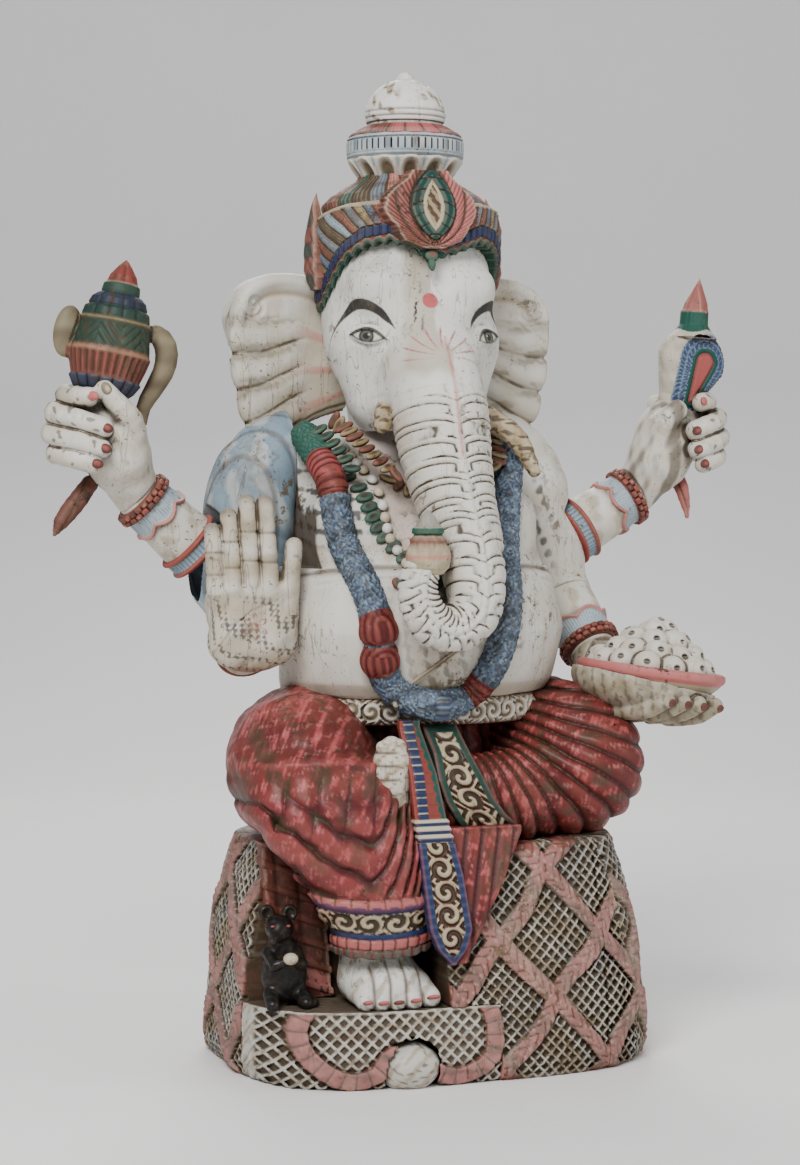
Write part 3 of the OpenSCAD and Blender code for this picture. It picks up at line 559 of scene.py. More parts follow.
whiteWood = weathered("chalkWhitePaint", stain=0.55, chips=0.55, hairs=0.9, edgeShare=0.12)
brightWood = weathered("wornBrightPaint", stain=0.18, chips=0.6, hairs=0.3, under="umber", edge="cream",
                       edgeShare=0.16)
print("materials ready")

# camera, soft light, and a pale floor that sweeps up behind
studio = {"eye": (-0.958, -2.631, 0.600), "look": (0.004, 0.012, 0.475), "lens": 83.2, "key": 88,
          "fill": 20, "rim": 34, "sky": 0.42}


def makeStudio():
    camera = bpy.data.objects.new("camera", bpy.data.cameras.new("camera"))
    camera.data.lens, camera.data.sensor_width = studio["lens"], 36
    camera.location = studio["eye"]
    way = np.subtract(studio["look"], studio["eye"])
    camera.rotation_euler = (math.atan2(math.hypot(way[0], way[1]), -way[2]), 0,
                             math.atan2(-way[0], way[1]))
    bpy.context.scene.collection.objects.link(camera)
    bpy.context.scene.camera = camera
    lamps = {"key": ((-1.5, -2.2, 2.6), 1.4), "fill": ((2.3, -1.8, 1.3), 1.8),
             "rim": ((0.6, 2.2, 2.3), 1.4)}
    for name, (at, size) in lamps.items():
        lamp = bpy.data.objects.new(name, bpy.data.lights.new(name, "AREA"))
        lamp.data.energy, lamp.data.size = studio[name], size
        lamp.location = at
        aim = np.subtract((0, 0, 0.5), at)
        lamp.rotation_euler = (math.atan2(math.hypot(aim[0], aim[1]), -aim[2]), 0,
                               math.atan2(-aim[0], aim[1]))
        bpy.context.scene.collection.objects.link(lamp)
    world = bpy.data.worlds.new("studio")
    world.use_nodes = True
    world.node_tree.nodes["Background"].inputs[0].default_value = (0.92, 0.94, 1.0, 1)
    world.node_tree.nodes["Background"].inputs[1].default_value = studio["sky"]
    bpy.context.scene.world = world
    bpy.context.scene.view_settings.view_transform = "AgX"
    bpy.context.scene.view_settings.look = "AgX - Medium High Contrast"
    mesh = bpy.data.meshes.new("floor")
    run = [(-6, 0), (2.2, 0)] + [(2.2 + 1.6 * math.sin(a), 1.6 - 1.6 * math.cos(a))
                                 for a in np.linspace(0.1, math.pi / 2, 16)] + [(3.8, 7)]
    c, s = math.cos(math.radians(20)), math.sin(math.radians(20))
    mesh.from_pydata([(x * c + y * s, -x * s + y * c, z) for y, z in run for x in (-9, 9)], [],
                     [(2 * i, 2 * i + 1, 2 * i + 3, 2 * i + 2) for i in range(len(run) - 1)])
    mesh.polygons.foreach_set("use_smooth", np.ones(len(mesh.polygons), bool))
    floor = bpy.data.objects.new("floor", mesh)
    b = Bench("paleFloor")
    grain = b.noise(b.node("ShaderNodeTexCoord", out="Object"), 3.0)
    shader = b.node("ShaderNodeBsdfPrincipled", {}, {"Base Color": b.mix(grain, (0.80, 0.79, 0.77, 1),
        (0.84, 0.83, 0.81, 1)), "Roughness": 0.8})
    b.node("ShaderNodeOutputMaterial", {}, {"Surface": shader})
    mesh.materials.append(b.material)
    bpy.context.scene.collection.objects.link(floor)


makeStudio()

# head and trunk share one surface, parted at the glued joint
face = {"turn": -4, "skull": (87, 96, 92), "eyeAngle": 38, "eyeDrop": 8, "eyeLong": 16, "eyeTall": 7,
        "round": 92, "browHeight": 33, "browMid": 70, "jointLow": -104, "jointHigh": 704, "blend": 22}
headMid = spot("head")
browZ = spot("crown_band", fz=0)[2]
trunkShape = {"ribPitch": 7.6, "ribDeep": 3.0}
trunkTop = spot("trunk", fz=1)
trunkPath = curve([(-2, -66, 20, 36), (-4, -86, -6, 43), (-5, -112, -28, 46), (-5, -124, -52, 48),
                   (-4, -134, -82, 47), (-2, -146, -120, 43), (1, -164, -160, 38), (4, -184, -194, 34),
                   (5, -199, -228, 29), (2, -206, -252, 26), (-10, -208, -267, 24),
                   (-28, -209, -273, 22.5), (-46, -210, -264, 21), (-57, -210, -245, 19.5),
                   (-58, -210, -223, 18), (-49, -210, -207, 16)], 30)
trunkPath[:, 2] += trunkTop[2]


def faceMap(p):  # distance round the face from its middle line, and height over the eyes
    q = turned(p, headMid, face["turn"])
    around = np.arctan2(q[0] - headMid[0], -(q[1] - headMid[1] - 4)) * face["round"]
    return around, p[2] - (headMid[2] + face["eyeDrop"]), q


def almond(s, h):  # one eye's opening: below zero inside
    s = abs(s) - math.radians(face["eyeAngle"]) * face["round"]
    bend = h - 0.14 * s
    reach = 1 - np.clip(abs(s) / face["eyeLong"], 0, 1.6) ** 2
    lid = np.where(bend > 0, face["eyeTall"], face["eyeTall"] * 0.72) * reach
    return most(abs(bend) - lid, abs(s) - face["eyeLong"] * 1.1), s, bend


def ribLines(p):
    d, run, turn = rope(p, trunkPath)
    width = np.interp(run, [0, 70, 260, 340, 430], [47, 47, 34, 25, 16])
    spine = abs(turn) * width
    phase = (run - 10 * np.exp(-spine / 14) + 0.8 * ripple(p, 30, 9)) / trunkShape["ribPitch"]
    rib = arches(math.pi * phase)
    front = step(abs(turn), 2.5, 1.9) * step(run, 84, 112)
    return d, run, turn, spine, rib, front, phase


def trunkTube(p):
    d, run, turn, spine, rib, front, phase = ribLines(p)
    d = d + (trunkShape["ribDeep"] * (1 - rib ** 0.65) - 1.1) * front * step(spine, 2.0, 6)
    d = d - 1.4 * bump(spine, 2.6) * step(run, 70, 100) + 0.9 * bump(spine - 4.8, 1.3) * step(run, 84, 112)
    tip = trunkPath[-1, :3]
    return carve(d, ball(p, tip + (2, -5, 9), 9), 2)


def skullField(p):
    s, h, q = faceMap(p)
    x, y, z = q
    c = headMid
    ax = abs(x)
    d = egg(q, c + (0, 4, 30), face["skull"])
    d = join(d, stick([ax, y, z], c + (32, -26, -4), c + (28, -34, -50), 55, 44), 22)
    d = join(d, stick(q, c + (0, -34, 34), c + (0, -70, -8), 46, 44), 26)
    d = join(d, stick(q, c + (0, 26, -20), c + (0, 36, -82), 62, 50), 20)
    d = join(d, egg([ax, y, z], c + (40, -58, 60), (34, 30, 26)), 22)
    d = join(d, egg(p, (0, -14, browZ - 4), (85, 91, 64)), 12)
    socket, es, eh = almond(s, h)
    frontal = step(-y, -c[1], -c[1] + 40)
    d = d + 5 * bump(s, 14) * bump(h - 58, 20) * frontal
    reach = bump(es, 24) * bump(eh, 15) * frontal
    d = d + 4.5 * bump(es, 28) * bump(eh - 14, 10) * frontal
    d = d - reach * 3.8 - 2.4 * bump(socket - 1.4, 1.6) * frontal * (abs(es) < 24)
    d = d + 1.5 * bump(eh - 14 + 0.012 * es ** 2, 1.4) * bump(es, 22) * frontal
    d = d + 1.0 * bump(eh + 10 - 0.012 * es ** 2, 1.6) * bump(es, 18) * frontal
    line = arches((h + 62 + 0.25 * abs(s)) / 4.6)
    corner = bump(abs(s) - 50, 12) * bump(h + 66, 18) * frontal
    d = d - 5 * corner + 1.8 * (1 - line) * corner
    return d + 0.9 * ripple(p, 46, 3)


def faceField(p):
    return join(skullField(p), trunkTube(p), face["blend"])


def rootBlock(p):  # the room in front of the joint, which belongs to the trunk
    return most(p[1] - face["jointLow"], p[2] - face["jointHigh"])


def headField(p):
    d = both(faceField(p), p[2] - browZ - 44, 1)
    return most(d, -rootBlock(p) - 2.5, spot("head", fz=0)[2] - 3 - p[2])


def trunkField(p):
    return most(faceField(p), rootBlock(p))


def facePaint(p, n):
    s, h, q = faceMap(p)
    socket, es, eh = almond(s, h)
    frontal = (q[1] < headMid[1] + 20)
    colour = tint(p, "chalk")
    wave = 2.5 * ripple(p, 30, 7)
    mark = (step(s + wave * 3, -40, -22) * step(s + wave * 2 - 10 * step(h, 0, -14), 0, -4)
            * step(h + wave * 2, -46, -30) * frontal)
    colour = coats(colour,
        (paints["olive"][:, None] * 0.5 + paints["cream"][:, None] * 0.52, mark * 0.6),
        ("slate", 0.16 * step(far(s + 46, h - 62), 30, 10) * frontal))
    fan = np.arctan2(s, h + 20)
    away = far(s, h + 20)
    rays = arches(7 * fan + 0.25 * np.sin(away / 6))
    length = 27 + 5 * np.sin(14 * fan)
    fanMask = step(abs(fan), 1.9, 1.7) * step(away, length + 1, length - 3) * step(away, 5, 8) * frontal
    colour = coats(colour,
        ("rose", 0.8 * step(rays, 0.34, 0.16) * fanMask),
        ("soot", 0.7 * step(rays, 0.12, 0.03) * fanMask * step(ripple(p, 7, 6), 0.0, 0.4)),
        ("rose", step(far(s + 3, h - 36), 8.2, 7.2) * frontal))
    chip = step(ripple(p, 9, 11), 0.30, 0.42) * bump(s + 16, 5) * step(h, 2, 8) * step(h, 66, 40) * frontal
    colour = lay(colour, "soot", chip)
    line = bump(socket, 1.2) * (abs(es) < 22) * frontal * 0.9
    upper = step(abs(socket - 0.9), 2.3, 1.5) * (eh > -1) * (abs(es) < 23) * frontal
    iris = far(es - 1, (eh - 0.6))
    seen = (socket < 0) * frontal
    colour = coats(colour,
        ("cream", seen * 0.35),
        (paints["slate"][:, None] * 0.35 + paints["olive"][:, None] * 0.35, step(iris, 7.6, 6.6) * seen),
        ("soot", bump(iris - 6.6, 1.0) * seen),
        ("soot", step(iris, 4.0, 2.6) * seen),
        # painted glint: a small white highlight in each eye
        ("chalk", step(far(es + 1.4, eh - 2.4), 1.3, 0.6) * seen * 0.7),
        ("soot", most(line, upper)))
    side = abs(s)
    arc = face["browHeight"] - 0.021 * (side - face["browMid"]) ** 2
    thick = 4.9 * step(side, 34, 48) * step(side, 118, 80) + 0.6
    brow = step(abs(h - arc), thick + 0.5, thick - 0.7) * (side > 35) * (side < 122) * frontal
    colour = lay(colour, "soot", brow * 0.95)
    trunkShare = step(h, -34, -50) * (q[1] < headMid[1] - 20)
    d, run, turn, spine, rib, front, phase = ribLines(p)
    onTrunk = np.clip(front * (d < 9), 0, 1)
    key = step(ripple(p, 13, 14), -0.25, 0.35)
    colour = coats(colour,
        ("cream", 0.22 * onTrunk),
        (paints["umber"][:, None] * 0.5, 0.9 * step(rib, 0.42, 0.12) * onTrunk * (0.25 + 0.75 * key)))
    wash = step(turn, 0.25, 1.5) * (0.45 + 0.55 * ripple(p, 60, 5)) * (d < 9)
    return coats(colour,
        ("ochre", 0.42 * np.clip(wash, 0, 1)),
        ("rose", 0.55 * bump(spine, 1.6) * (h < 0) * (h > -120) * (q[1] < headMid[1] - 40)),
        ("chalk", 0.25 * trunkShare * (1 - onTrunk)))


sculpt("headBlock", headField, *roomFor("head", (4, 40, 2), (4, 4, 46)), 1.2, facePaint, whiteWood,
       nodes=["head"], slot="whitewash", whole=faceField)
sculpt("trunkBlock", trunkField, *roomFor("trunk", (18, 6, 14), (22, 8, 6)), 1.2, facePaint, whiteWood,
       nodes=["trunk"], slot="whitewash", whole=faceField)


def tuskField(side):
    root = np.array((50 * side, -96, 651.0))
    tip = np.array((91, -142, 592.0)) if side > 0 else np.array((-62, -119, 637.0))
    mid = (root + tip) / 2 + ((7, -6, 4) if side > 0 else (0, -2, 0))
    path = curve([(*root, 12), (*mid, 11 if side > 0 else 10.5), (*tip, 6.5 if side > 0 else 8.5)], 12)

    def field(p):
        d, run, turn = rope(p, path)
        return d + 0.5 * ripple(p, 9, 4) + 0.5 * bump(np.sin(run / 4.5), 0.3)

    def paint(p, n):
        return coats(tint(p, "cream"),
            ("ochre", 0.5 + 0.5 * ripple(p, 16, 12)),
            ("umber", 0.85 * step(ripple(p, 11, 5), 0.12, 0.4)))

    return field, paint


for side, node in ((-1, "right_tusk"), (1, "left_tusk")):
    field, paint = tuskField(side)
    sculpt("rightTusk" if side < 0 else "leftTusk", field, *roomFor(node, 8, 8), 1.0, paint, whiteWood,
           nodes=[node], slot="whitewash")

# the sweet held in the curl of the trunk
treat = {"rings": [(0, 15), (6, 20), (16, 22), (24, 20.5), (30, 17.5), (33, 18), (38, 13), (40, 16),
                   (44, 15), (46, 12.5), (56, 6), (62, 1)]}
treatAt = spot("trunk_sweet", fz=0)


def treatField(p):
    r, h = far(p[0] - treatAt[0], p[1] - treatAt[1]), p[2] - treatAt[2]
    wall = np.interp(h, [a for a, _ in treat["rings"]], [b for _, b in treat["rings"]])
    spin = np.arctan2(p[0] - treatAt[0], -(p[1] - treatAt[1]))
    d = (r - wall) * 0.85 + 0.9 * bump(arches(spin * 9), 0.25) * bump(h - 28, 5)
    return most(d, -h, h - 62) + 0.4 * ripple(p, 10, 3)


def treatPaint(p, n):
    h = p[2] - treatAt[2]
    spin = np.arctan2(p[0] - treatAt[0], -(p[1] - treatAt[1]))
    return coats(tint(p, "cream"),
        ("olive", 0.3 + 0.3 * ripple(p, 14, 8)),
        ("brick", 0.8 * bump(h - 31 - 1.5 * arches(spin * 6), 4.5)),
        ("rose", 0.6 * bump(h - 17, 2.2)),
        ("green", (h > 37.5) * (h < 44.5)),
        ("slate", 0.45 * (h > 45)))


sculpt("trunkSweet", treatField, *roomFor("trunk_sweet", 4, 3), 0.9, treatPaint, whiteWood,
       nodes=["trunk_sweet"], slot="whitewash")

# ears, carved on their front and held in slots
ear = {"grooves": 30, "curl": (33, 60)}
earEdge = np.array([(-84, 40), (-76, 68), (-48, 84), (-18, 92), (12, 92), (34, 84), (48, 70), (55, 50),
                    (56, 26), (55, 2), (51, -22), (45, -48), (36, -72), (23, -90), (8, -89), (-14, -74),
                    (-44, -56), (-84, -44)], float)


def earOutline(x, z):  # signed distance to the ear's outline
    pts = curve(np.hstack([earEdge, earEdge * 0]), 44)[:, :2]
    best = np.full(x.shape, 1e9)
    crossings = np.zeros(x.shape, int)
    for a, b in zip(pts, np.roll(pts, -1, 0)):
        e = b - a
        t = np.clip(((x - a[0]) * e[0] + (z - a[1]) * e[1]) / max(e.dot(e), 1e-6), 0, 1)
        best = least(best, far(x - a[0] - t * e[0], z - a[1] - t * e[1]))
        if a[1] != b[1]:
            crossings += ((a[1] <= z) != (b[1] <= z)) & (x < a[0] + (z - a[1]) * e[0] / e[1])
    return np.where(crossings % 2 == 1, -best, best)


def earParts(side):
    c = spot("right_ear" if side < 0 else "left_ear")

    def lines(x, z):
        line = (z + 0.24 * x * (1 - z / 60) + 3 * np.sin(x / 15)) / ear["grooves"] + 0.35
        groove = abs(line - np.round(line)) * ear["grooves"]
        return groove, step(x, -30, -10) * step(z, 52, 40)

    def field(p):
        x, y, z = side * (p[0] - c[0]), p[1] - c[1], p[2] - c[2]
        groove, share = lines(x, z)
        edge = earOutline(x, z) + 0.7 * bump(groove, 5) * share * step(x, 20, 40)
        y = y + 0.0012 * np.clip(x + 22, 0, 200) ** 2 - 3
        d = both(edge, abs(y) - 8 - 3 * step(edge, -2, -16), 9)
        d = d + 2.4 * bump(groove, 1.8) * share * (y < 4) - 1.3 * bump(groove - 15, 10) * share * (y < 4)
        root = step(x, -2, -34) * step(z, 74, 50) * (y < 4)
        d = d + 1.5 * root + 1.2 * arches(9 * np.arctan2(z + 6, x + 130)) * root
        roll = far(edge + 8, least(y + 7, 0)) - 8 * step(z + 0.25 * x, 22, 68)
        d = join(d, roll, 4)
        d = d + 2.2 * bump(edge + 21, 3) * step(z, 40, 56) * (y < 2)
        d = d + 1.6 * bump(edge + 8, 1.6) * step(z, -30, -44) * step(x, 30, 16) * (y < 4)
        away = far(x - ear["curl"][0], z - ear["curl"][1])
        swirl = np.sin(away / 2.2 - np.arctan2(z - ear["curl"][1], x - ear["curl"][0]))
        d = d + 1.9 * step(swirl, -0.1, 0.7) * step(away, 17, 13) * (y < 0)
        return d + 0.7 * ripple(p, 40, 4)

    def paint(p, n):
        x, y, z = side * (p[0] - c[0]), p[1] - c[1], p[2] - c[2]
        groove, share = lines(x, z)
        front = (n[1] < 0.25)
        colour = lay(tint(p, "chalk"), "cream", 0.3 + 0.3 * ripple(p, 50, 3))
        broken = 0.3 + 0.7 * step(ripple(p, 22, 6), -0.2, 0.3)
        colour = coats(colour,
            ("umber", 0.9 * bump(groove, 1.7) * share * front * broken),
            ("umber", 0.45 * bump(groove - 4, 6) * share * front * step(ripple(p, 13, 16), 0.0, 0.4)),
            ("olive", 0.35 * bump(groove - 4, 5) * share * front))
        root = step(x, 0, -40) * step(z, 74, 50) * front
        strokes = arches(9 * np.arctan2(z + 6, x + 130))
        colour = coats(colour,
            ("ochre", 0.35 * root),
            ("pink", 0.6 * root * step(strokes, 0.55, 0.2)))
        edge = earOutline(x, z)
        return coats(colour,
            ("ochre", 0.6 * bump(edge + 21, 3) * step(z, 40, 56) * front),
            ("umber", 0.6 * bump(edge + 8, 1.4) * step(z, -30, -44) * step(x, 30, 16) * front),
            ("ochre", 0.3 * step(z, 0, -70) * front))

    return field, paint


for side, node in ((-1, "right_ear"), (1, "left_ear")):
    field, paint = earParts(side)
    sculpt("rightEar" if side < 0 else "leftEar", field, *roomFor(node, (4, 10, 10), (4, 8, 8)), 1.4,
           paint, whiteWood, nodes=[node], slot="whitewash")

# torso and shoulders share one surface, parted at the flat glue faces
torsoLow, torsoHigh = spot("torso", fz=0)[2], spot("torso", fz=1)[2]
trunkBody = {"levels": [(0.0, 0, -42, 138, 112), (0.05, 0, -46, 142, 118), (0.24, 0, -54, 148, 120),
                        (0.42, 0, -50, 143, 118), (0.57, 0, -30, 128, 108), (0.72, 0, -8, 118, 95),
                        (0.87, 0, 6, 106, 80), (0.95, 0, 8, 88, 66), (1.0, 0, 6, 72, 58)], "crease": 130,
             "blend": 18}
torsoLevels = [(torsoLow + f * (torsoHigh - torsoLow), *rest) for f, *rest in trunkBody["levels"]]
armFace = spot("left_shoulder", fx=0)[0]
chestLow = torsoHigh - 140
shoulderPath = curve([(100, 22, -8, 24), (118, 26, -22, 42), (140, 30, -52, 52), (150, 30, -90, 52),
                      (156, 26, -128, 46), (160, 20, -156, 38), (160, 18, -178, 22)], 16)
shoulderPath[:, 2] += torsoHigh
elbows = {-1: {"rear": (-184, 22, 485), "front": (-178, 18, 477)},
          1: {"rear": (168, 22, 505), "front": (178, 18, 477)}}
wrists = {-1: {"rear": (-276, 20, 568), "front": (-194, -84, 409)},
          1: {"rear": (276, 20, 568), "front": (198, -48, 403)}}
starts = {"rear": 34, "front": 30}


def armLine(side, which):  # elbow, glue face and wrist of one forearm
    a, b = np.array(elbows[side][which], float), np.array(wrists[side][which], float)
    way = (b - a) / np.linalg.norm(b - a)
    return a, a + way * starts[which], b, way


def chestField(p):
    x, y, z = p
    d = stack(p, torsoLevels)
    ax = abs(x)
    d = join(d, egg([ax, y, z], (62, -68, 540), (60, 46, 44)), 18)
    d = join(d, egg(p, (0, -60, 430), (140, 112, 78)), 20)
    front = step(y, 0, -30)
    fold = z - (497 - 0.0016 * (ax - 60) ** 2)
    span = step(ax, 16, 34) * step(ax, 134, 118) * front
    d = d + (3.4 * bump(fold, 2.6) + 1.6 * bump(fold + 11, 2.2) - 1.2 * bump(fold + 6, 3.5)) * span
    return d + 1.2 * ripple(p, 60, 2)


def limbField(p, side):
    d, run, turn = rope([p[0] * side, p[1], p[2]], shoulderPath)
    for which in ("rear", "front"):
        a, start, b, way = armLine(side, which)
        d = join(d, stick(p, a, start + way * 2, 36, 31.5), 16)
    return d


def bodyField(p):
    chest = chestField(p)
    low = 60 * step(p[2], chestLow + 6, chestLow - 22)
    for side in (-1, 1):
        if np.any(p[0] * side > 40):
            chest = join(chest, limbField(p, side) + low, trunkBody["blend"])
    return chest


def armRoom(p):  # the room of both shoulders, beside the flat sides of the chest
    return most(armFace - abs(p[0]), chestLow - p[2])


def torsoField(p):
    d = most(bodyField(p), -armRoom(p))
    return most(d, torsoLow - 3 - p[2], p[2] - torsoHigh - 1)


def shoulderField(side):
    def field(p):
        low = 60 * step(p[2], chestLow - 10, chestLow + 14)
        d = join(limbField(p, side), chestField(p) + low, trunkBody["blend"])
        d = most(d, armFace - p[0] * side)
        d = most(d, -most(chestField(p) - 0.4, p[2] - chestLow))
        for which in ("rear", "front"):
            a, start, b, way = armLine(side, which)
            h = slab(p, start, way)
            r = far(*[p[i] - start[i] - h * way[i] for i in range(3)])
            d = most(d, -most(-h, r - 44))
        if side < 0:  # cloth laid over the shoulder in long soft folds
            lean = p[0] * 0.75 + (p[1] - 20) * 0.8 + 0.05 * (p[2] - 540) + 5 * np.sin(p[2] / 46)
            d = d - 1.6 * arches(lean / 7.5) * step(p[2], 625, 600) + 0.8
        return d + 0.6 * ripple(p, 50, 5)

    return field


def torsoPaint(p, n):
    x, y, z = p
    colour = lay(tint(p, "chalk"), "cream", 0.18 + 0.25 * ripple(p, 80, 3))
    ax = abs(x)
    fold = z - (497 - 0.0016 * (ax - 60) ** 2)
    span = step(ax, 16, 34) * step(y, 0, -30)
    colour = coats(colour,
        ("umber", 0.7 * bump(fold, 2.0) * span),
        ("ochre", 0.5 * bump(fold - 14, 12) * span * step(ripple(p, 30, 8), -0.4, 0.5)))
    soot = (step(ripple(p, 17, 21), 0.12, 0.42) * step(z, 508, 525) * step(z, 606, 590)
            * step(x, -70, -84) * (y < 0))
    colour = lay(colour, "soot", 0.8 * soot)
    middle = bump(x + 18, 44) * step(z, 500, 470) * (y < -60)
    colour = coats(colour,
        ("ochre", 0.55 * middle * (0.6 + 0.4 * ripple(p, 24, 12))),
        ("umber", 0.55 * middle * step(ripple(p, 14, 13), 0.05, 0.45)))
    upper = step(ax, 76, 50) * step(z, 500, 520) * (y < -20)
    return coats(colour,
        ("pink", 0.22 * upper),
        ("ochre", 0.45 * bump(z - torsoLow - 6, 9)))


def shoulderPaint(side):
    def paint(p, n):
        x, y, z = p
        if side > 0:
            colour = lay(tint(p, "chalk"), "cream", 0.25 + 0.3 * ripple(p, 60, 9))
            soot = step(ripple(p, 19, 27), 0.18, 0.42) * step(z, 590, 570) * step(x, 175, 150) * (y < 20)
            return lay(colour, "soot", 0.75 * soot)
        lean = x * 0.75 + (y - 20) * 0.8 + 0.05 * (z - 540) + 5 * np.sin(z / 46)
        # painted shade in the valleys of the shoulder cloth's folds
        valley = step(arches(lean / 7.5), 0.45, 0.1)
        return coats(tint(p, "sky"),
            ("slate", 0.35 + 0.35 * ripple(p, 50, 4)),
            ("chalk", 0.45 * step(ripple(p, 34, 15), 0.0, 0.5)),
            ("umber", 0.5 * valley))

    return paint


sculpt("torsoBlock", torsoField, *roomFor("torso", (6, 12, 3), (6, 14, 2)), 1.4, torsoPaint, whiteWood,
       nodes=["torso"], slot="whitewash", whole=bodyField)
sculpt("rightShoulder", shoulderField(-1), *roomFor("right_shoulder", (10, 8, 4), (2, 6, 4)), 1.4,
       shoulderPaint(-1), whiteWood, nodes=["right_shoulder"], slot="blue_grey_wash")
sculpt("leftShoulder", shoulderField(1), *roomFor("left_shoulder", (2, 8, 4), (10, 6, 4)), 1.4,
       shoulderPaint(1), whiteWood, nodes=["left_shoulder"], slot="whitewash")


# cloth panel down the back
def shawlField(p):
    x, y, z = p
    low, high = spot("shawl", fz=0)[2], spot("shawl", fz=1)[2]
    back = spot("shawl", fy=0)[1]
    f = np.clip((z - low) / (high - low), 0, 1)
    half = np.interp(f, [0, 0.3, 0.62, 0.85, 1], [92, 104, 108, 92, 66])
    thick = np.interp(f, [0, 0.3, 0.62, 0.85, 1], [12, 19, 23, 20, 12])
    d = (far(x / half, most(y - back, 0) / thick) - 1) * thick * 0.8
    fan = x * (1 + 0.35 * (1 - f)) + 6 * np.sin(z / 40)
    d = d + 1.9 * (1 - arches(fan / 9)) - 0.6
    return most(d, back - 2 - y, low - z, z - high)


def shawlPaint(p, n):
    colour = lay(tint(p, "sky"), "slate", 0.4 + 0.4 * ripple(p, 60, 6))
    low = spot("shawl", fz=0)[2]
    return coats(colour,
        ("pink", step(p[2], low + 15, low + 12)),
        ("navy", 0.8 * bump(p[2] - low - 20, 2.4)))


sculpt("backCloth", shawlField, *roomFor("shawl", 3, 3), 1.5, shawlPaint, whiteWood, nodes=["shawl"],
       slot="blue_grey_wash")


# carved belt
belt = {"scroll": 19, "deep": 1.7}
beltLow, beltHigh = spot("waist_belt", fz=0)[2], spot("waist_belt", fz=1)[2]


def beltSurface(p):
    q = [p[0], p[1] + 37, p[2]]
    f = (q[2] - beltLow) / (beltHigh - beltLow)
    wide = 8 * np.sqrt(np.clip(1 - (2 * f - 1) ** 2, 0, 1))
    k = far(q[0] / (137 + wide), q[1] / (108 + wide))
    return (k - 1) * 108, np.arctan2(q[0], -q[1]) * 124, q[2] - (beltLow + beltHigh) / 2


def beltField(p):
    d, s, h = beltSurface(p)
    tall = (beltHigh - beltLow) / 2
    d = d - belt["deep"] * scroll(s, h, belt["scroll"], tall) * step(abs(h), tall, tall - 4)
    return both(d, abs(h) - tall, 3)


def beltPaint(p, n):
    d, s, h = beltSurface(p)
    cut = scroll(s, h, belt["scroll"], (beltHigh - beltLow) / 2)
    return coats(tint(p, "cream"),
        ("chalk", step(cut, -0.2, 0.8) * 0.7),
        ("umber", 0.75 * step(cut, -0.1, -0.8)),
        ("brick", 0.5 * step(abs(h), 10, 13)))


sculpt("carvedBelt", beltField, *roomFor("waist_belt", (6, 6, 0), (6, 6, 0)), 1.2, beltPaint, whiteWood,
       nodes=["waist_belt"], slot="whitewash")

# garland, from the right shoulder round the belly and up behind the trunk
garland = {"thick": 15, "bulbs": (246, 276), "green": 45, "red": 95, "lower": 400}
garlandLine = np.array([(-113, -30, 627), (-111, -60, 608), (-108, -95, 583), (-105, -125, 549),
                        (-98, -140, 515), (-89, -150, 476), (-82, -160, 437), (-77, -168, 401),
                        (-59, -172, 374), (-26, -172, 362), (9, -168, 368), (29, -165, 391),
                        (42, -160, 425), (51, -150, 464), (60, -140, 510), (72, -128, 560), (84, -90, 602),
                        (90, -50, 630)], float)
hit = onto(chestField, garlandLine[:, 0], garlandLine[:, 2])
near = abs(hit - garlandLine[:, 1]) < 40
garlandLine[:, 1] = np.where(near, hit - 5, garlandLine[:, 1])
garlandPath = curve(np.hstack([garlandLine, np.full((len(garlandLine), 1), garland["thick"])]), 46)
garlandRun = np.concatenate([[0], np.cumsum(np.linalg.norm(np.diff(garlandPath[:, :3], axis=0), axis=1))])
for at in garland["bulbs"]:
    garlandPath[:, 3] += 4.5 * bump(garlandRun - at, 10)


def garlandField(p):
    d, run, turn = rope(p, garlandPath)
    bulb = most(bump(run - garland["bulbs"][0], 13), bump(run - garland["bulbs"][1], 13))
    redPart = most(bulb, step(run, 42, 48) * step(run, 98, 92))
    a, b = run / 2.9, turn * garland["thick"] / 2.9
    knots = np.sin(a * 2 + np.sin(b) * 1.6) * np.sin(b * 2 + np.sin(a * 0.9) * 1.3)
    near = least(abs(run - garland["bulbs"][0]), abs(run - garland["bulbs"][1]))
    rings = np.cos(far(near, turn * 15) / 1.15)
    d = d - 1.0 * knots * (1 - redPart) - 0.9 * rings * redPart
    d = (d + 3.0 * bump(run - (garland["bulbs"][0] + garland["bulbs"][1]) / 2, 2.5)
         + 2.0 * bump(run - 43, 1.8) + 2.0 * bump(run - 96, 1.8))
    return most(d, -(chestField(p) + 4))


def garlandPaint(p, n):
    d, run, turn = rope(p, garlandPath)
    a, b = np.floor(run / 1.9), np.floor(turn * garland["thick"] / 1.9 + 0.5 * (np.floor(run / 1.9) % 2))
    speck = scatter(a, b, 4)
    colour = coats(
        mixed(["navy", "slate", "blue", "slate", "sky", "soot", "blue", "umber"], speck * 8),
        ("slate", 0.4),
        ("soot", 0.5 * step(ripple(p, 24, 19), 0.0, 0.6)),
        ("green", step(run, 44, 42) * 0.9))
    bulb = (abs(run - garland["bulbs"][0]) < 14) | (abs(run - garland["bulbs"][1]) < 14)
    redPart = bulb | ((run > 43) & (run < 96)) | ((run > garland["lower"]) & (run < garland["lower"] + 26))
    near = least(abs(run - garland["bulbs"][0]), abs(run - garland["bulbs"][1]))
    rings = step(np.cos(far(near, turn * 15) / 1.15), 0.1, -0.7)
    cloth = lay(lay(tint(p, "brick"), "rose", 0.35 * (run < 80) + 0.25 * ripple(p, 16, 20)), "wine",
                rings * 0.9)
    return lay(colour, cloth, redPart.astype(float))


sculpt("garland", garlandField, garlandPath[:, :3].min(0) - 22, garlandPath[:, :3].max(0) + 22, 1.1,
       garlandPaint, brightWood)


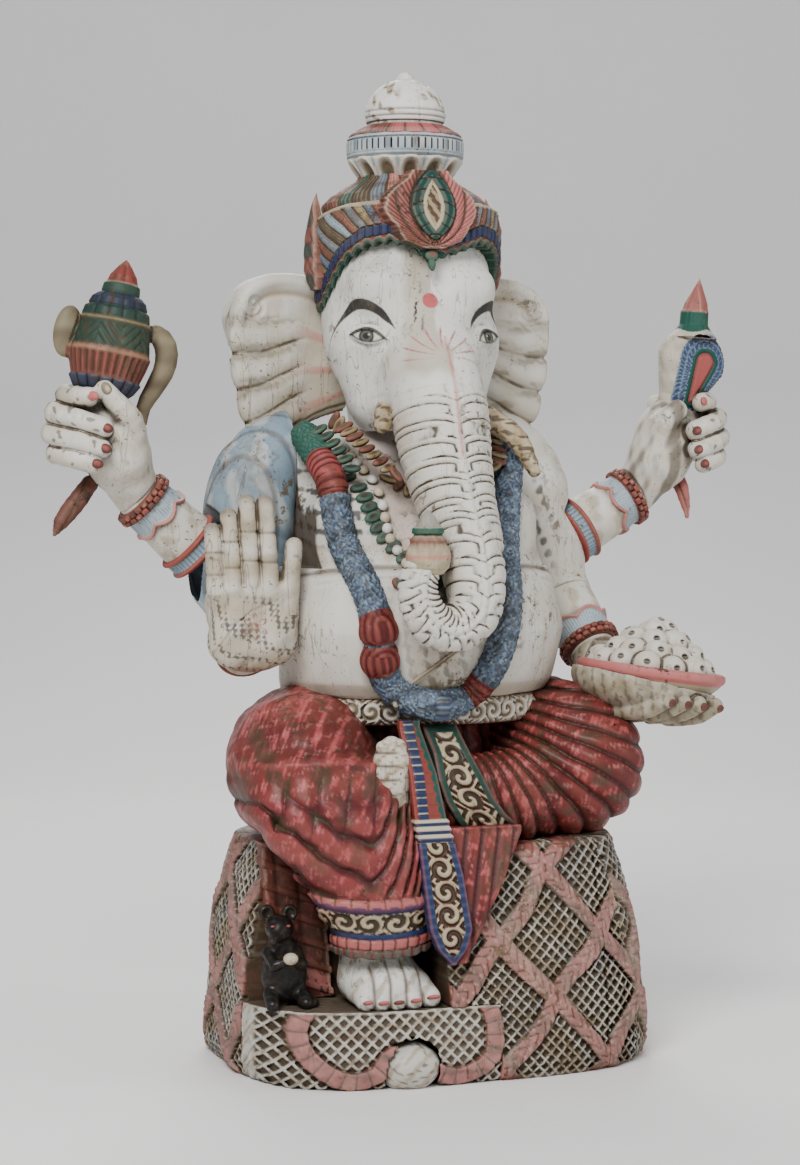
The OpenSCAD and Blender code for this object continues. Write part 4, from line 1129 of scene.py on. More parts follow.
# n places on the chest, with the way along and the way out
def along(points, n, lift=0.0, field=chestField):
    line = curve([(x, y, z, 0) for x, y, z in points], 200)[:, :3]
    run = np.concatenate([[0], np.cumsum(np.linalg.norm(np.diff(line, axis=0), axis=1))])
    at = np.stack([np.interp(np.linspace(0, run[-1], n), run, line[:, i]) for i in range(3)], 1)
    y = onto(field, at[:, 0], at[:, 2])
    at[:, 1] = np.where(abs(y - at[:, 1]) < 45, y, at[:, 1])
    ways = unitRows(np.gradient(at, axis=0))
    out, _ = slope(field, [at[:, 0], at[:, 1], at[:, 2]], 2.0)
    out = np.stack(out, 1)
    return at + out * lift, ways, out


collarLine = [(-88, -50, 643), (-79, -85, 623), (-64, -110, 601), (-44, -130, 581), (-10, -136, 566),
              (30, -134, 572), (58, -115, 592), (84, -70, 628)]
at, way, out = along(collarLine, 30, 3)
studs("collarOvals", at, np.cross(way, out), out, (10.5, 4.6, 4.2), ["brick", "ochre"], brightWood,
      eye=["umber"], dent=0.5)
chainLine = [(-104, -50, 631), (-93, -80, 608), (-80, -105, 578), (-70, -135, 544), (-51, -150, 510),
             (-27, -160, 485), (0, -166, 470)]
at, way, out = along(chainLine, 20, 3)
studs("leafChain", at, np.cross(way, out), out, (9.5, 5.6, 4), ["green", "teal"], brightWood, eye=["soot"],
      dent=0.5)
pearlLine = [(-74, -80, 612), (-63, -115, 585), (-60, -130, 554), (-55, -150, 520), (-43, -160, 495),
             (-30, -165, 482)]
at, way, out = along(pearlLine, 14, 3.5)
studs("pearls", at, way, out, (5.8, 5.6, 5), ["chalk", "cream"], whiteWood)
dropLine = [(-60, -165, 481), (-52, -168, 470), (-43, -171, 458), (-33, -172, 445), (-20, -172, 431),
            (-12, -172, 422)]
at, way, out = along(dropLine, 7, 3)
studs("pendantOvals", at, way, out, (6.2, 5.2, 4), ["brick"], brightWood, eye=["teal", "soot"], dent=0.4)
at, way, out = along([(-44, -168, 484), (-34, -172, 470), (-22, -173, 456), (-14, -173, 446)], 9, 3)
studs("pendantBeads", at + np.array([(0, 0, 3.0 * (-1) ** i) for i in range(9)]), way, out,
      (2.6, 2.6, 2.4), ["cream", "ochre"], whiteWood)
at, way, out = along([(-3, -172, 432), (-4, -172, 424)], 2, 3)
studs("pendantDrop", at, way, out, [(5, 4, 3), (7, 5, 4)], ["umber", "brick"], brightWood,
      eye=["umber", "teal"], dent=0.3)


# double thread across the belly
threadLine = [(70, -150, 500), (46, -160, 462), (24, -165, 438), (-5, -170, 417), (-31, -172, 396),
              (-51, -170, 379), (-66, -168, 364)]
at, way, out = along(threadLine, 26, 1.2)
threadPath = np.hstack([at, np.full((26, 1), 2.6)])


def threadField(p):
    d, run, turn = rope(p, threadPath)
    return d + 1.1 * bump(turn, 0.35)


def threadPaint(p, n):
    d, run, turn = rope(p, threadPath)
    return lay(lay(tint(p, "cream"), "ochre", 0.5), "soot", 0.9 * bump(turn, 0.4))


sculpt("thread", threadField, at.min(0) - 5, at.max(0) + 5, 0.9, threadPaint, whiteWood)

# forearms, cuffs and hands
cuffShape = {"long": 30, "end": 3, "wall": 6, "petals": 6}
arms = [(-1, "rear", "rearRight", "rear_right"), (1, "rear", "rearLeft", "rear_left"),
        (-1, "front", "frontRight", "front_right"), (1, "front", "frontLeft", "front_left")]
palmBack = -88.0


def forearmParts(side, which):
    elbow, start, wrist, way = armLine(side, which)
    long = np.linalg.norm(wrist - start)

    def field(p):
        h = slab(p, start, way)
        r = far(*[p[i] - start[i] - h * way[i] for i in range(3)])
        wide = 31.0 - 7.0 * np.clip(h / long, 0, 1) + 2.0 * np.sin(np.clip(h / long, 0, 1) * math.pi)
        d = both(r - wide, most(-h, h - long), 1)
        if which == "front" and side < 0:
            d = most(d, -most(p[1] - palmBack, p[2] - 535))
        return d + 0.6 * ripple(p, 40, 7)

    def paint(p, n):
        colour = lay(tint(p, "chalk"), "cream", 0.3 + 0.3 * ripple(p, 40, 11))
        h = slab(p, start, way)
        return coats(colour,
            ("ochre", 0.4 * step(ripple(p, 26, 14), 0.0, 0.5)),
            # painted shade on the forearm where the bangle's lower edge meets it
            ("umber", 0.5 * bump(h - long + 34, 4)))

    return field, paint, start, wrist, way, long


def cuffParts(start, way, low, high, wide, flipped=False):
    def local(p):
        across, out, along_ = laid(p, start, way, (0, -1, 0.2))
        return far(across, out), np.arctan2(across, out), along_

    def edges(turn):
        lobe = abs(np.cos(turn * cuffShape["petals"] / 2 + 0.4))
        return low + 5 - 7 * lobe, lobe

    def field(p):
        r, turn, h = local(p)
        foot, lobe = edges(turn)
        wall = wide(h)
        swell = 2.6 * bump(h - foot - 2.0, 2.4)
        flute = 0.8 * arches(turn * 30) * step(h, foot + 3, foot + 5) * step(h, high - 12, high - 14)
        rim = 1.2 * (h > high - 12)
        d = r - wall - 3.2 - swell + flute - rim
        return both(both(d, foot - h, 2), h - high, 1.5)

    def paint(p, n):
        r, turn, h = local(p)
        foot, lobe = edges(turn)
        strokes = arches(turn * 30)
        return coats(tint(p, "sky"),
            ("chalk", 0.3),
            ("slate", step(strokes, 0.4, 0.1) * 0.9),
            ("pink", step(h, foot + 5, foot + 4) * 0.95),
            ("brick", step(h, high - 13, high - 12)))

    def beadRows(name):
        rows, ways, outs = [], [], []
        count = int(2 * math.pi * (wide((low + high) / 2) + 6) / 8.4)
        side = np.cross(way, (0, -1, 0.2))
        side = side / np.linalg.norm(side)
        front = np.cross(side, way)
        for k, h in enumerate((high - 8.6, high - 3.2)):
            for i in range(count):
                turn = 2 * math.pi * (i + 0.5 * k) / count
                out = math.cos(turn) * front + math.sin(turn) * side
                rows.append(start + way * h + out * (wide(h) + 4.6))
                ways.append(way)
                outs.append(out)
        return studs(name, rows, ways, outs, (2.9, 3.7, 3.4), ["brick", "red", "wine", "brick"],
                     brightWood, eye=["brick", "umber", "pink"], square=4.0, detail=7)

    return field, paint, beadRows


for side, which, name, node in arms:
    field, paint, start, wrist, way, long = forearmParts(side, which)
    sculpt(name + "Forearm", field, least(start, wrist) - 36, most(start, wrist) + 36, 1.5, paint,
           whiteWood, nodes=[node + "_forearm"], slot="whitewash")
    high = long - cuffShape["end"]
    wide = lambda h, long=long: 31.0 - 7.0 * np.clip(h / long, 0, 1)
    field, paint, beadRows = cuffParts(start, way, high - cuffShape["long"] - 3, high, wide)
    if which == "front" and side < 0:
        behind = lambda p, field=field: most(field(p), palmBack - p[1])
    else:
        behind = field
    sculpt(name + "Bangle", behind, least(start, wrist) - 44, most(start, wrist) + 44, 1.1, paint,
           brightWood, nodes=[node + "_bangle"], slot="red_frame")
    if not (which == "front" and side < 0):
        beadRows(name + "BangleBeads")

for side, node, name in ((-1, "right_armlet", "rightArmlet"), (1, "left_armlet", "leftArmlet")):
    elbow, start, wrist, way = armLine(side, "rear")

    def armletField(p, start=start, way=way):
        across, out, h = laid(p, start, way, (0, -1, 0.2))
        r, turn = far(across, out), np.arctan2(across, out)
        d = r - 33.5 - 2.6 * bump(h - 3, 2.6) - 2.6 * bump(h - 18.5, 2.6)
        d = d + 0.9 * arches(turn * 22) * step(h, 5, 7) * step(h, 17, 15)
        return both(d, most(-h, h - 21), 2)

    def armletPaint(p, n, start=start, way=way):
        across, out, h = laid(p, start, way, (0, -1, 0.2))
        strokes = arches(np.arctan2(across, out) * 22)
        colour = lay(tint(p, "sky"), "umber", 0.75 * step(strokes, 0.45, 0.15))
        return lay(colour, "red", most(step(h, 6.5, 5.5), step(h, 15, 16)))

    sculpt(name, armletField, *roomFor(node, 6, 6), 1.1, armletPaint, brightWood, nodes=[node],
           slot="red_frame")

# the two fists, carved as mirror twins apart from the thumb
fist = {"fingers": [((-306, 34, 648), (-352, 26, 652), (-364, -2, 648), (-346, -26, 642),
                     (-324, -31, 634)), ((-304, 34, 628), (-354, 26, 632), (-368, -2, 628),
    (-348, -28, 622), (-326, -32, 614)), ((-302, 32, 608), (-350, 24, 612), (-364, -2, 609),
    (-350, -26, 604), (-334, -31, 599)), ((-308, 32, 664), (-344, 22, 668), (-352, 0, 666),
    (-344, -16, 665), (-336, -22, 665))], "thick": (10.8, 10.4, 9.6, 10.2),
    "thumb": [(-292, 4, 612), (-290, -14, 636), (-303, -24, 654), (-320, -24, 672)]}


def fistField(side):
    paths = [curve([(*q, r) for q in line], 9) for line, r in zip(fist["fingers"], fist["thick"])]
    thumb = curve([(*q, r) for q, r in zip(fist["thumb"], (15, 14, 11.5, 9.5))], 8)
    if side > 0:
        thumb = thumb[:6]
    elbow, start, wrist, way = armLine(side, "rear")
    lean = math.radians(11 if side < 0 else 4)
    shaft = np.array((math.sin(lean), 0, math.cos(lean)))
    hub = np.array((323.0 * side, 10, 624))
    mirrored = np.array((-1.0, 1, 1)) if side > 0 else np.array((1.0, 1, 1))

    def field(p):
        q = [p[0] * mirrored[0], p[1], p[2]]
        palm = join(egg(q, (-304, 4, 622), (33, 30, 44)), stick(q, (-276, 20, 568), (-296, 8, 600), 24,
            31), 14)
        palm = join(palm, egg(q, (-322, 12, 634), (30, 24, 36)), 12)
        fingers = np.full(p[0].shape, 1e3)
        for path in paths:
            d, run, turn = rope(q, path)
            knuckle = 1.3 * bump(run - 46, 5) + 1.0 * bump(run - 78, 4)
            fingers = join(fingers, d - knuckle, 1.6)
        d = join(palm, fingers, 3)
        d = join(d, rope(q, thumb)[0], 5)
        d = d + 0.7 * ripple(p, 26, 8)
        h = slab(p, hub, shaft)
        r = far(*[p[i] - hub[i] - h * shaft[i] for i in range(3)])
        d = most(d, -most(r - 16.3, 23.9 - h))
        d = most(d, -(r - 7.2))
        d = most(d, -most(r - 15, h + 44))
        return most(d, -(p[0] - wrist[0]) * way[0] - (p[1] - wrist[1]) * way[1]
                    - (p[2] - wrist[2]) * way[2])

    def paint(p, n):
        q = [p[0] * mirrored[0], p[1], p[2]]
        colour = lay(tint(p, "chalk"), "cream", 0.35 + 0.3 * ripple(p, 30, 5))
        for k, path in enumerate(paths):
            d, run, turn = rope(q, path)
            colour = coats(colour,
                (paints["olive"][:, None] * 0.7 + paints["cream"][:, None] * 0.4,
                 0.6 * bump(run - 60, 22) * (d < 2)),
                ("soot", 0.6 * step(ripple(p, 15, 30 + k), 0.5, 0.62) * (d < 2) * (run > 40)))
        if side > 0:
            colour = lay(colour, "umber", 0.7 * step(ripple(p, 34, 3), -0.25, 0.35)
                         * step(q[0], -325, -305) * (p[1] < 10))
        return colour

    return field, paint


for side, node, name in ((-1, "rear_right_fist", "rightFist"), (1, "rear_left_fist", "leftFist")):
    field, paint = fistField(side)
    sculpt(name, field, *roomFor(node, (26, 16, 4), (26, 10, 24)), 1.2, paint, whiteWood, nodes=[node],
           slot="whitewash")
    tips = np.array([(line[-1][0] * -side if side > 0 else line[-1][0], line[-1][1], line[-1][2])
                     for line in fist["fingers"]], float)
    ways = np.array([np.subtract(line[-1], line[-2]) * ((-1, 1, 1) if side > 0 else (1, 1, 1))
                     for line in fist["fingers"]], float)
    out = np.tile((-0.05 * side, -1, 0.1), (4, 1))
    lift = np.array([r - 1.4 for r in fist["thick"]])[:, None]
    studs(name + "Nails", tips + unitRows(out) * lift + unitRows(ways) * 2, ways, out, (6.6, 4.8, 2.6),
          ["wine", "wine", "wine", "rose"], brightWood, eye=["red", "red", "red", "rose"])
studs("rightThumbNail", [(-320, -33, 673)], [(-0.6, -0.1, 0.8)], [(0, -1, 0.2)], (7.2, 5.2, 2.6),
      ["olive"], whiteWood, eye=["cream"])

# raised palm
palm = {"mid": (-191, -100, 440), "fingers": [((-228, -102, 474), (-233, -104, 534), 8.6),
    ((-212, -103, 478), (-217, -105, 548), 9.0), ((-194, -103, 482), (-199, -105, 561), 9.4),
    ((-175, -103, 480), (-180, -105, 560), 9.4)], "thumb": ((-155, -100, 452), (-149, -102, 518), 9.4)}


def palmSkin(p):
    x, y, z = p
    d = brick(p, (-191, -100, 446), (42, 12, 36), 11)
    d = join(d, egg(p, (-192, -99, 424), (43, 13, 30)), 10)
    d = join(d, egg(p, (-166, -106, 434), (18, 11, 30)), 8)
    d = join(d, egg(p, (-214, -105, 430), (16, 9, 30)), 8)
    for a, b, r in palm["fingers"]:
        length = b[2] - a[2]
        f = (z - a[2]) / length
        crease = least(abs(f - 0.28), abs(f - 0.64))
        finger = (stick(p, a, b, r + 0.8, r - 0.8) + 0.9 * bump(crease * length, 1.5)
                  - 0.5 * bump(crease * length - 8, 5))
        d = join(d, finger, 3)
    thumb = palm["thumb"]
    d = join(d, stick(p, thumb[0], thumb[1], thumb[2] + 1.5, thumb[2] - 0.8), 7)
    middle = far(x + 192, z - 446)
    d = d + 2.0 * bump(middle, 16) * (y < -104)
    line = z - (462 - 0.012 * (x + 170) ** 2)
    d = d + 0.9 * bump(line, 1.2) * step(x, -172, -182) * (y < -104)
    line = z - (450 + 0.5 * (x + 200))
    d = d + 0.8 * bump(line, 1.1) * step(x, -160, -170) * step(x, -232, -224) * (y < -104)
    return most(d, y - palmBack) + 0.5 * ripple(p, 24, 6)


def thumbRoom(p):
    return most(-157.5 - p[0], 450 - p[2])


def palmPaint(p, n):
    x, y, z = p
    colour = coats(tint(p, "chalk"),
        ("cream", 0.45 + 0.3 * ripple(p, 40, 2)),
        ("ochre", 0.22 + 0.3 * ripple(p, 46, 9)),
        ("olive", 0.35 * step(ripple(p, 34, 10), 0.0, 0.7)))
    for a, b, r in palm["fingers"]:
        f = (z - a[2]) / (b[2] - a[2])
        crease = least(abs(f - 0.28), abs(f - 0.64)) * (b[2] - a[2])
        near = step(abs(x - a[0] - (b[0] - a[0]) * f), 9, 7) * (z > a[2])
        colour = coats(colour,
            ("umber", 0.5 * bump(crease, 1.3) * near),
            ("umber", 0.6 * near * step(z, b[2] - 4, b[2] + 6)))
    soot = step(ripple(p, 10, 17), 0.32, 0.5) * step(z, 476, 460)
    colour = lay(colour, "soot", 0.7 * soot)
    # a plain painted flower in the middle of the palm
    away, spin = far(x + 192, z - 440), np.arctan2(x + 192, z - 440)
    petals = bump(away - 12.5 * abs(np.cos(spin * 3)), 1.3) * (away > 4)
    return coats(colour,
        ("red", 0.75 * most(petals, bump(away - 3, 1.1)) * (away < 15) * (y < -104)),
        ("brick", 0.55 * step(z, 402, 396)))


def palmField(p):
    return most(palmSkin(p), -thumbRoom(p))


def thumbField(p):
    return most(palmSkin(p), thumbRoom(p))


sculpt("raisedPalm", palmField, *roomFor("front_right_hand", (6, 8, 6), (6, 4, 6)), 1.1, palmPaint,
       whiteWood, nodes=["front_right_hand"], slot="whitewash", whole=palmSkin)
sculpt("raisedThumb", thumbField, *roomFor("right_thumb", (4, 6, 3), (6, 3, 12)), 1.1, palmPaint,
       whiteWood, nodes=["right_thumb"], slot="whitewash", whole=palmSkin)

# hand under the bowl
dish = {"at": (226, -132, 388), "tilt": 8, "radius": 75, "deep": 30}


def inDish(p):
    c, s = math.cos(math.radians(dish["tilt"])), math.sin(math.radians(dish["tilt"]))
    x, y, z = [p[i] - dish["at"][i] for i in range(3)]
    return [c * x - s * z, y, s * x + c * z]


def dishOuter(q):
    r = far(q[0], q[1])
    wall = np.interp(q[2], [-30, -26, -21.6, -10.8, -5, 0, 2], [34, 48, 58.5, 70, 74.5, 75, 75])
    return most(r - wall, -30 - q[2], q[2] - 2) * 0.8


cupFingers = [((-40 + 19 * k, -16, -45), (-24 + 19 * k, -48, -39), (-11 + 18 * k, -66, -27))
              for k in range(4)]


def cupField(p):
    q = inDish(p)
    shell = egg(q, (-6, 2, -10), (76, 72, 40))
    shell = most(shell, q[2] + 12 + 0.10 * q[0])
    elbow, start, wrist, way = armLine(1, "front")
    d = shell
    for a, b, c in cupFingers:
        path = curve([(*a, 10), (*b, 9.4), (*c, 8.4)], 8)
        d = join(d, rope(q, path)[0], 2.2)
    arm = stick(p, wrist, (200, -86, 372), 24, 30)
    d = join(d, arm, 14)
    d = most(d, -(dishOuter(q) - 0.3))
    d = most(d, -most(far(q[0], q[1]) - 76, -4 - q[2]))
    d = most(d, -slab(p, wrist, way))
    return d + 0.5 * ripple(p, 30, 12)


def cupPaint(p, n):
    return coats(tint(p, "cream"),
        ("chalk", 0.3 + 0.4 * ripple(p, 34, 9)),
        ("olive", 0.5 + 0.3 * ripple(p, 20, 12)),
        ("umber", 0.5 * step(ripple(p, 12, 13), 0.2, 0.5)))


def dishOut(rows):  # from bowl axes to the world
    c, s = math.cos(math.radians(dish["tilt"])), math.sin(math.radians(dish["tilt"]))
    rows = np.array(rows, float)
    return np.stack([c * rows[:, 0] + s * rows[:, 2], rows[:, 1], -s * rows[:, 0] + c * rows[:, 2]], 1)


sculpt("cupHand", cupField, *roomFor("front_left_hand", (28, 30, 10), (36, 6, 6)), 1.3, cupPaint,
       whiteWood, nodes=["front_left_hand"], slot="whitewash")
ends = dishOut([np.add(c, (2, -5.4, -2.5)) for a, b, c in cupFingers]) + dish["at"]
studs("cupNails", ends, dishOut([np.subtract(c, b) for a, b, c in cupFingers]), [(0.1, -1, -0.25)] * 4,
      (6.4, 4.6, 3.2), ["wine"], brightWood, eye=["brick"])


def dishField(p):
    q = inDish(p)
    r = far(q[0], q[1])
    d = dishOuter(q)
    d = most(d, -(far(r, (q[2] - 4) * 1.5) - 64))
    return join(d, far(r - 70.5, q[2] + 1.5) - 5.4, 2) + 0.3 * ripple(p, 30, 3)


def dishPaint(p, n):
    q = inDish(p)
    r = far(q[0], q[1])
    colour = lay(tint(p, "cream"), "olive", 0.4)
    return lay(colour, lay(tint(p, "pink"), "rose", 0.25 + 0.3 * ripple(p, 30, 5)),
               step(far(r - 70.5, q[2] + 1.5), 8.5, 6.5))


sculpt("sweetBowl", dishField, *roomFor("bowl", 6, 6), 1.2, dishPaint, brightWood, nodes=["bowl"],
       slot="pink_red")

heap = {"rows": [(13, 53, 5, 14), (10, 38, 17, 14), (7, 24, 28, 14), (3, 9, 38, 14), (1, 0, 44, 12)]}
heapBalls = []
for count, radius, height, size in heap["rows"]:
    for i in range(count):
        spin = 2 * math.pi * (i + 0.5 * (height % 2) + height / 40) / count
        jog = scatter(i, height, 5)
        heapBalls.append((radius * math.cos(spin), radius * math.sin(spin), height + 3 * jog - 1.5,
                          size * (0.92 + 0.16 * scatter(height, i, 9))))
heapBalls = np.array(heapBalls)


def heapField(p):
    q = inDish(p)
    best = egg(q, (0, 0, 2), (50, 50, 34))
    for lump in heapBalls:
        best = join(best, ball(q, lump[:3], lump[3]), 0.9)
    for i, lump in enumerate(heapBalls):
        out = np.array((lump[0] * 0.5 + 3 * math.sin(i * 2.1), lump[1] * 0.5 - 8,
                        9 + 4 * math.cos(i * 1.7)))
        nick = lump[:3] + out / np.linalg.norm(out) * lump[3]
        best = carve(best, egg(q, nick, (3.4, 3.4, 2.2)), 0.5)
    return most(best, -q[2] - 6)


def heapPaint(p, n):
    q = inDish(p)
    colour = lay(tint(p, "chalk"), "cream", 0.35 + 0.3 * ripple(p, 22, 4))
    for i, lump in enumerate(heapBalls):
        out = np.array((lump[0] * 0.5 + 3 * math.sin(i * 2.1), lump[1] * 0.5 - 8,
                        9 + 4 * math.cos(i * 1.7)))
        nick = lump[:3] + out / np.linalg.norm(out) * lump[3]
        colour = lay(colour, "umber", 0.85 * step(far(q[0] - nick[0], q[1] - nick[1], q[2] - nick[2]), 4.6,
            2.6) * (scatter(i, 3) > 0.25))
    return colour


sculpt("sweetHeap", heapField, *roomFor("sweets", 4, 4), 1.1, heapPaint, whiteWood, nodes=["sweets"],
       slot="whitewash")

# crown, tier by tier
crown = {"mid": (0, -14), "band": (93, 99), "beadPitch": 8.2, "featherPitch": 7.5, "scallop": 12}
beadLine = np.array([(0, 817), (18, 822), (48, 833), (75, 829), (100, 815), (130, 788), (155, 770),
                     (320, 766)], float)
topLine = np.array([(0, 862), (60, 862), (100, 860), (140, 852), (175, 842), (320, 840)], float)


def bandMap(p):
    x, y = p[0], p[1] - crown["mid"][1]
    spin = np.arctan2(x, -y)
    s = spin * 96
    base = np.interp(abs(s), beadLine[:, 0], beadLine[:, 1])
    top = np.interp(abs(s), topLine[:, 0], topLine[:, 1])
    wide = np.interp(p[2], [760, 790, 812, 838, 856, 864], [-3.5, -1.0, 2.0, 3.0, -2.0, -9.0])
    k = far(x / (crown["band"][0] + wide), y / (crown["band"][1] + wide))
    return (k - 1) * 95, s, p[2] - base, top - p[2], top - base


def featherLines(s, h):
    phase = (abs(s) * 0.9 - h * 0.62) / crown["featherPitch"]
    return phase, arches(math.pi * phase), arches(math.pi * phase * 4)


def bandField(p):
    d, s, h, left, tall = bandMap(p)
    foot = -15 + 4.5 * abs(np.cos(math.pi * s / crown["scallop"])) - 9 * bump(s + 8, 7)
    bead = step(abs(h), 5.2, 4.2)
    seg = arches(math.pi * s / crown["beadPitch"])
    phase, rib, fine = featherLines(s, h)
    feathers = step(h, 5, 7) * step(left, 2, 5)
    d = (d - bead * (2.6 - 1.2 * step(seg, 0.35, 0.1)) - feathers * (2.4 * rib ** 0.7 + 0.5 * fine)
         - 2.8 * step(left, 5, 3.5))
    skirt = step(h, -5, -6)
    d = d - skirt * (0.4 + 1.4 * abs(np.cos(math.pi * s / crown["scallop"])) * bump(h + 9, 5))
    return both(both(d, foot - h, 2), -left, 2)


def bandPaint(p, n):
    d, s, h, left, tall = bandMap(p)
    phase, rib, fine = featherLines(s, h)
    key = np.floor(phase)
    colour = coats(
        mixed(["slate", "brick", "sky", "umber", "slate", "brick", "blue", "ochre"], key + 400),
        ("cream", 0.35 * step(fine, 0.8, 0.97)),
        ("umber", 0.8 * step(fine, 0.35, 0.1)),
        ("umber", 0.95 * step(rib, 0.5, 0.2)),
        ("umber", 0.5 * step(ripple(p, 22, 8), 0.0, 0.5)))
    nearJewel = step(abs(s + 8), 62, 40)
    colour = coats(colour,
        (lay(tint(p, "brick"), "pink", 0.5 * step(fine, 0.5, 0.9)), nearJewel * 0.75),
        (lay(tint(p, "cream"), "ochre", 0.35), step(left, 5, 4) * 0.8))
    seg = arches(math.pi * s / crown["beadPitch"])
    beads = lay(lay(tint(p, "navy"), "soot", 0.3), "blue", 0.22 * step(seg, 0.6, 1))
    colour = lay(colour, lay(beads, "soot", 0.8 * step(seg, 0.3, 0.1)), step(abs(h), 5.4, 4.8))
    skirt = step(h, -5, -5.6)
    wave = -11 + 3.5 * abs(np.cos(math.pi * s / crown["scallop"]))
    green = lay(lay(tint(p, "green"), "teal", 0.5), "soot", 0.3)
    return coats(colour,
        (lay(green, "brick", step(h, wave + 0.5, wave + 2.0)), skirt),
        ("cream", 0.3 * bump(h - wave - 1.2, 0.7) * skirt),
        ("soot", 0.7 * bump(h - wave + 1.4, 0.9) * skirt))


sculpt("crownBand", bandField, (-100, -118, 748), (100, 88, 868), 1.2, bandPaint, brightWood,
       nodes=["crown_band"], slot="pink_red")


def lathe(p, rings):  # distance to a turned profile of height and radius rows about the crown's axis
    r = far(p[0] - crown["mid"][0], p[1] - crown["mid"][1])
    spin = np.arctan2(p[0] - crown["mid"][0], -(p[1] - crown["mid"][1]))
    rings = np.array(rings, float)
    return (r - np.interp(p[2], rings[:, 0], rings[:, 1])) * 0.8, spin, r


domeRings = [(850, 86), (858, 86), (864, 84), (872, 76), (882, 60), (888, 50), (893, 46)]


def domeField(p):
    d, spin, r = lathe(p, domeRings)
    f = (p[2] - 850) / 42
    leaf = arches(13 * spin + 3.0 * f)
    vein = arches(52 * spin + 12 * f)
    d = d - 2.2 * leaf ** 0.7 * step(p[2], 855, 862) - 0.5 * vein + 1.2
    return most(d, 849 - p[2], p[2] - 893)


def domePaint(p, n):
    d, spin, r = lathe(p, domeRings)
    f = (p[2] - 850) / 42
    leaf = 13 * spin + 3.0 * f
    colour = mixed(["brick", "teal", "umber", "slate", "pink", "brick"], np.floor(leaf / math.pi) + 42)
    vein = arches(52 * spin + 12 * f)
    return coats(colour,
        ("cream", 0.3 * step(vein, 0.75, 0.97)),
        ("umber", 0.8 * step(vein, 0.4, 0.1)),
        ("umber", 0.9 * step(arches(leaf), 0.5, 0.2)),
        ("umber", 0.5 * step(ripple(p, 20, 9), 0.0, 0.5)),
        ("ochre", step(p[2], 858, 855) * 0.8))


sculpt("crownDome", domeField, (-92, -106, 846), (92, 78, 896), 1.2, domePaint, brightWood,
       nodes=["crown_dome"], slot="pink_red")

cupRings = [(890, 46), (893, 48), (900, 53), (908, 58), (912, 58)]


def cupMap(p):
    d, spin, r = lathe(p, cupRings)
    lobe = abs(((spin * 13 / (2 * math.pi)) % 1) - 0.5) * 2
    h = (p[2] - 892) / 17
    scoop = 1 - far(lobe * 1.15, (h - 0.12) * 0.95)
    return d, spin, lobe, h, scoop


def cupRingField(p):
    d, spin, lobe, h, scoop = cupMap(p)
    d = d + 4.2 * step(scoop, 0.18, 0.6) - 1.2 * bump(scoop - 0.12, 0.12)
    return most(d, 890 - p[2], p[2] - 911)


def cupRingPaint(p, n):
    d, spin, lobe, h, scoop = cupMap(p)
    return coats(tint(p, "chalk"),
        ("cream", 0.4),
        ("umber", 0.8 * step(scoop, 0.2, 0.55)),
        ("ochre", 0.6 * bump(scoop - 0.55, 0.15)),
        ("sky", 0.8 * step(lobe, 0.8, 0.95) * step(h, 0.3, 0.6)))


sculpt("crownCup", cupRingField, (-64, -78, 888), (64, 50, 912), 1.1, cupRingPaint, whiteWood,
       nodes=["crown_cup"], slot="whitewash")

fluteRings = [(908, 55), (911, 59), (914, 60.5), (928, 60.5), (931, 60), (934, 56)]


def fluteField(p):
    d, spin, r = lathe(p, fluteRings)
    flute = arches(27 * spin)
    body = step(p[2], 916, 918) * step(p[2], 929, 927)
    d = (d + 1.8 * step(flute, 0.45, 0.12) * body + 1.3 * bump(p[2] - 929.5, 0.9)
         + 1.0 * bump(p[2] - 915, 0.8))
    return most(d, 909 - p[2], p[2] - 934)


def flutePaint(p, n):
    d, spin, r = lathe(p, fluteRings)
    flute = arches(27 * spin)
    colour = lay(tint(p, "sky"), "chalk", 0.35 + 0.25 * ripple(p, 30, 5))
    body = step(p[2], 916, 918) * step(p[2], 929, 927)
    key = scatter(np.floor(27 * spin / math.pi), 2)
    return coats(colour,
        ("slate", (key > 0.8) * 0.7 * body),
        ("soot", 0.75 * step(flute, 0.4, 0.15) * body),
        ("soot", 0.8 * bump(p[2] - 929.5, 0.9)),
        ("umber", 0.6 * bump(p[2] - 912, 1.0)))


sculpt("crownRing", fluteField, (-64, -78, 907), (64, 50, 936), 1.0, flutePaint, whiteWood,
       nodes=["crown_ring"], slot="blue_grey_wash")

capRings = [(934, 57), (936, 56), (944, 43), (946, 39), (949, 40.5), (956, 41.5), (963, 40.5), (970, 38),
            (977, 34), (983, 28.5), (988, 21.5), (991, 14), (992.5, 9.8), (995, 8.4), (998, 7),
            (999.4, 4.5), (1000, 2)]


def capField(p):
    d, spin, r = lathe(p, capRings)
    petals = step(p[2], 945, 943)
    leaf = arches(9 * spin)
    d = d - 1.8 * leaf ** 0.6 * petals - 0.5 * arches(45 * spin) * petals + 1.2 * petals
    d = d + 1.1 * bump(p[2] - 947.5, 0.9) + 0.9 * bump(p[2] - 953, 0.8) + 1.0 * bump(p[2] - 959, 0.9)
    seam = spin * r
    d = d + 0.9 * bump(seam - 2, 1.0) * (p[2] > 946) - 1.6 * bump(seam - 1, 4) * step(p[2], 976, 986)
    return most(d, 933.5 - p[2], p[2] - 1000) + 0.4 * ripple(p, 22, 4)


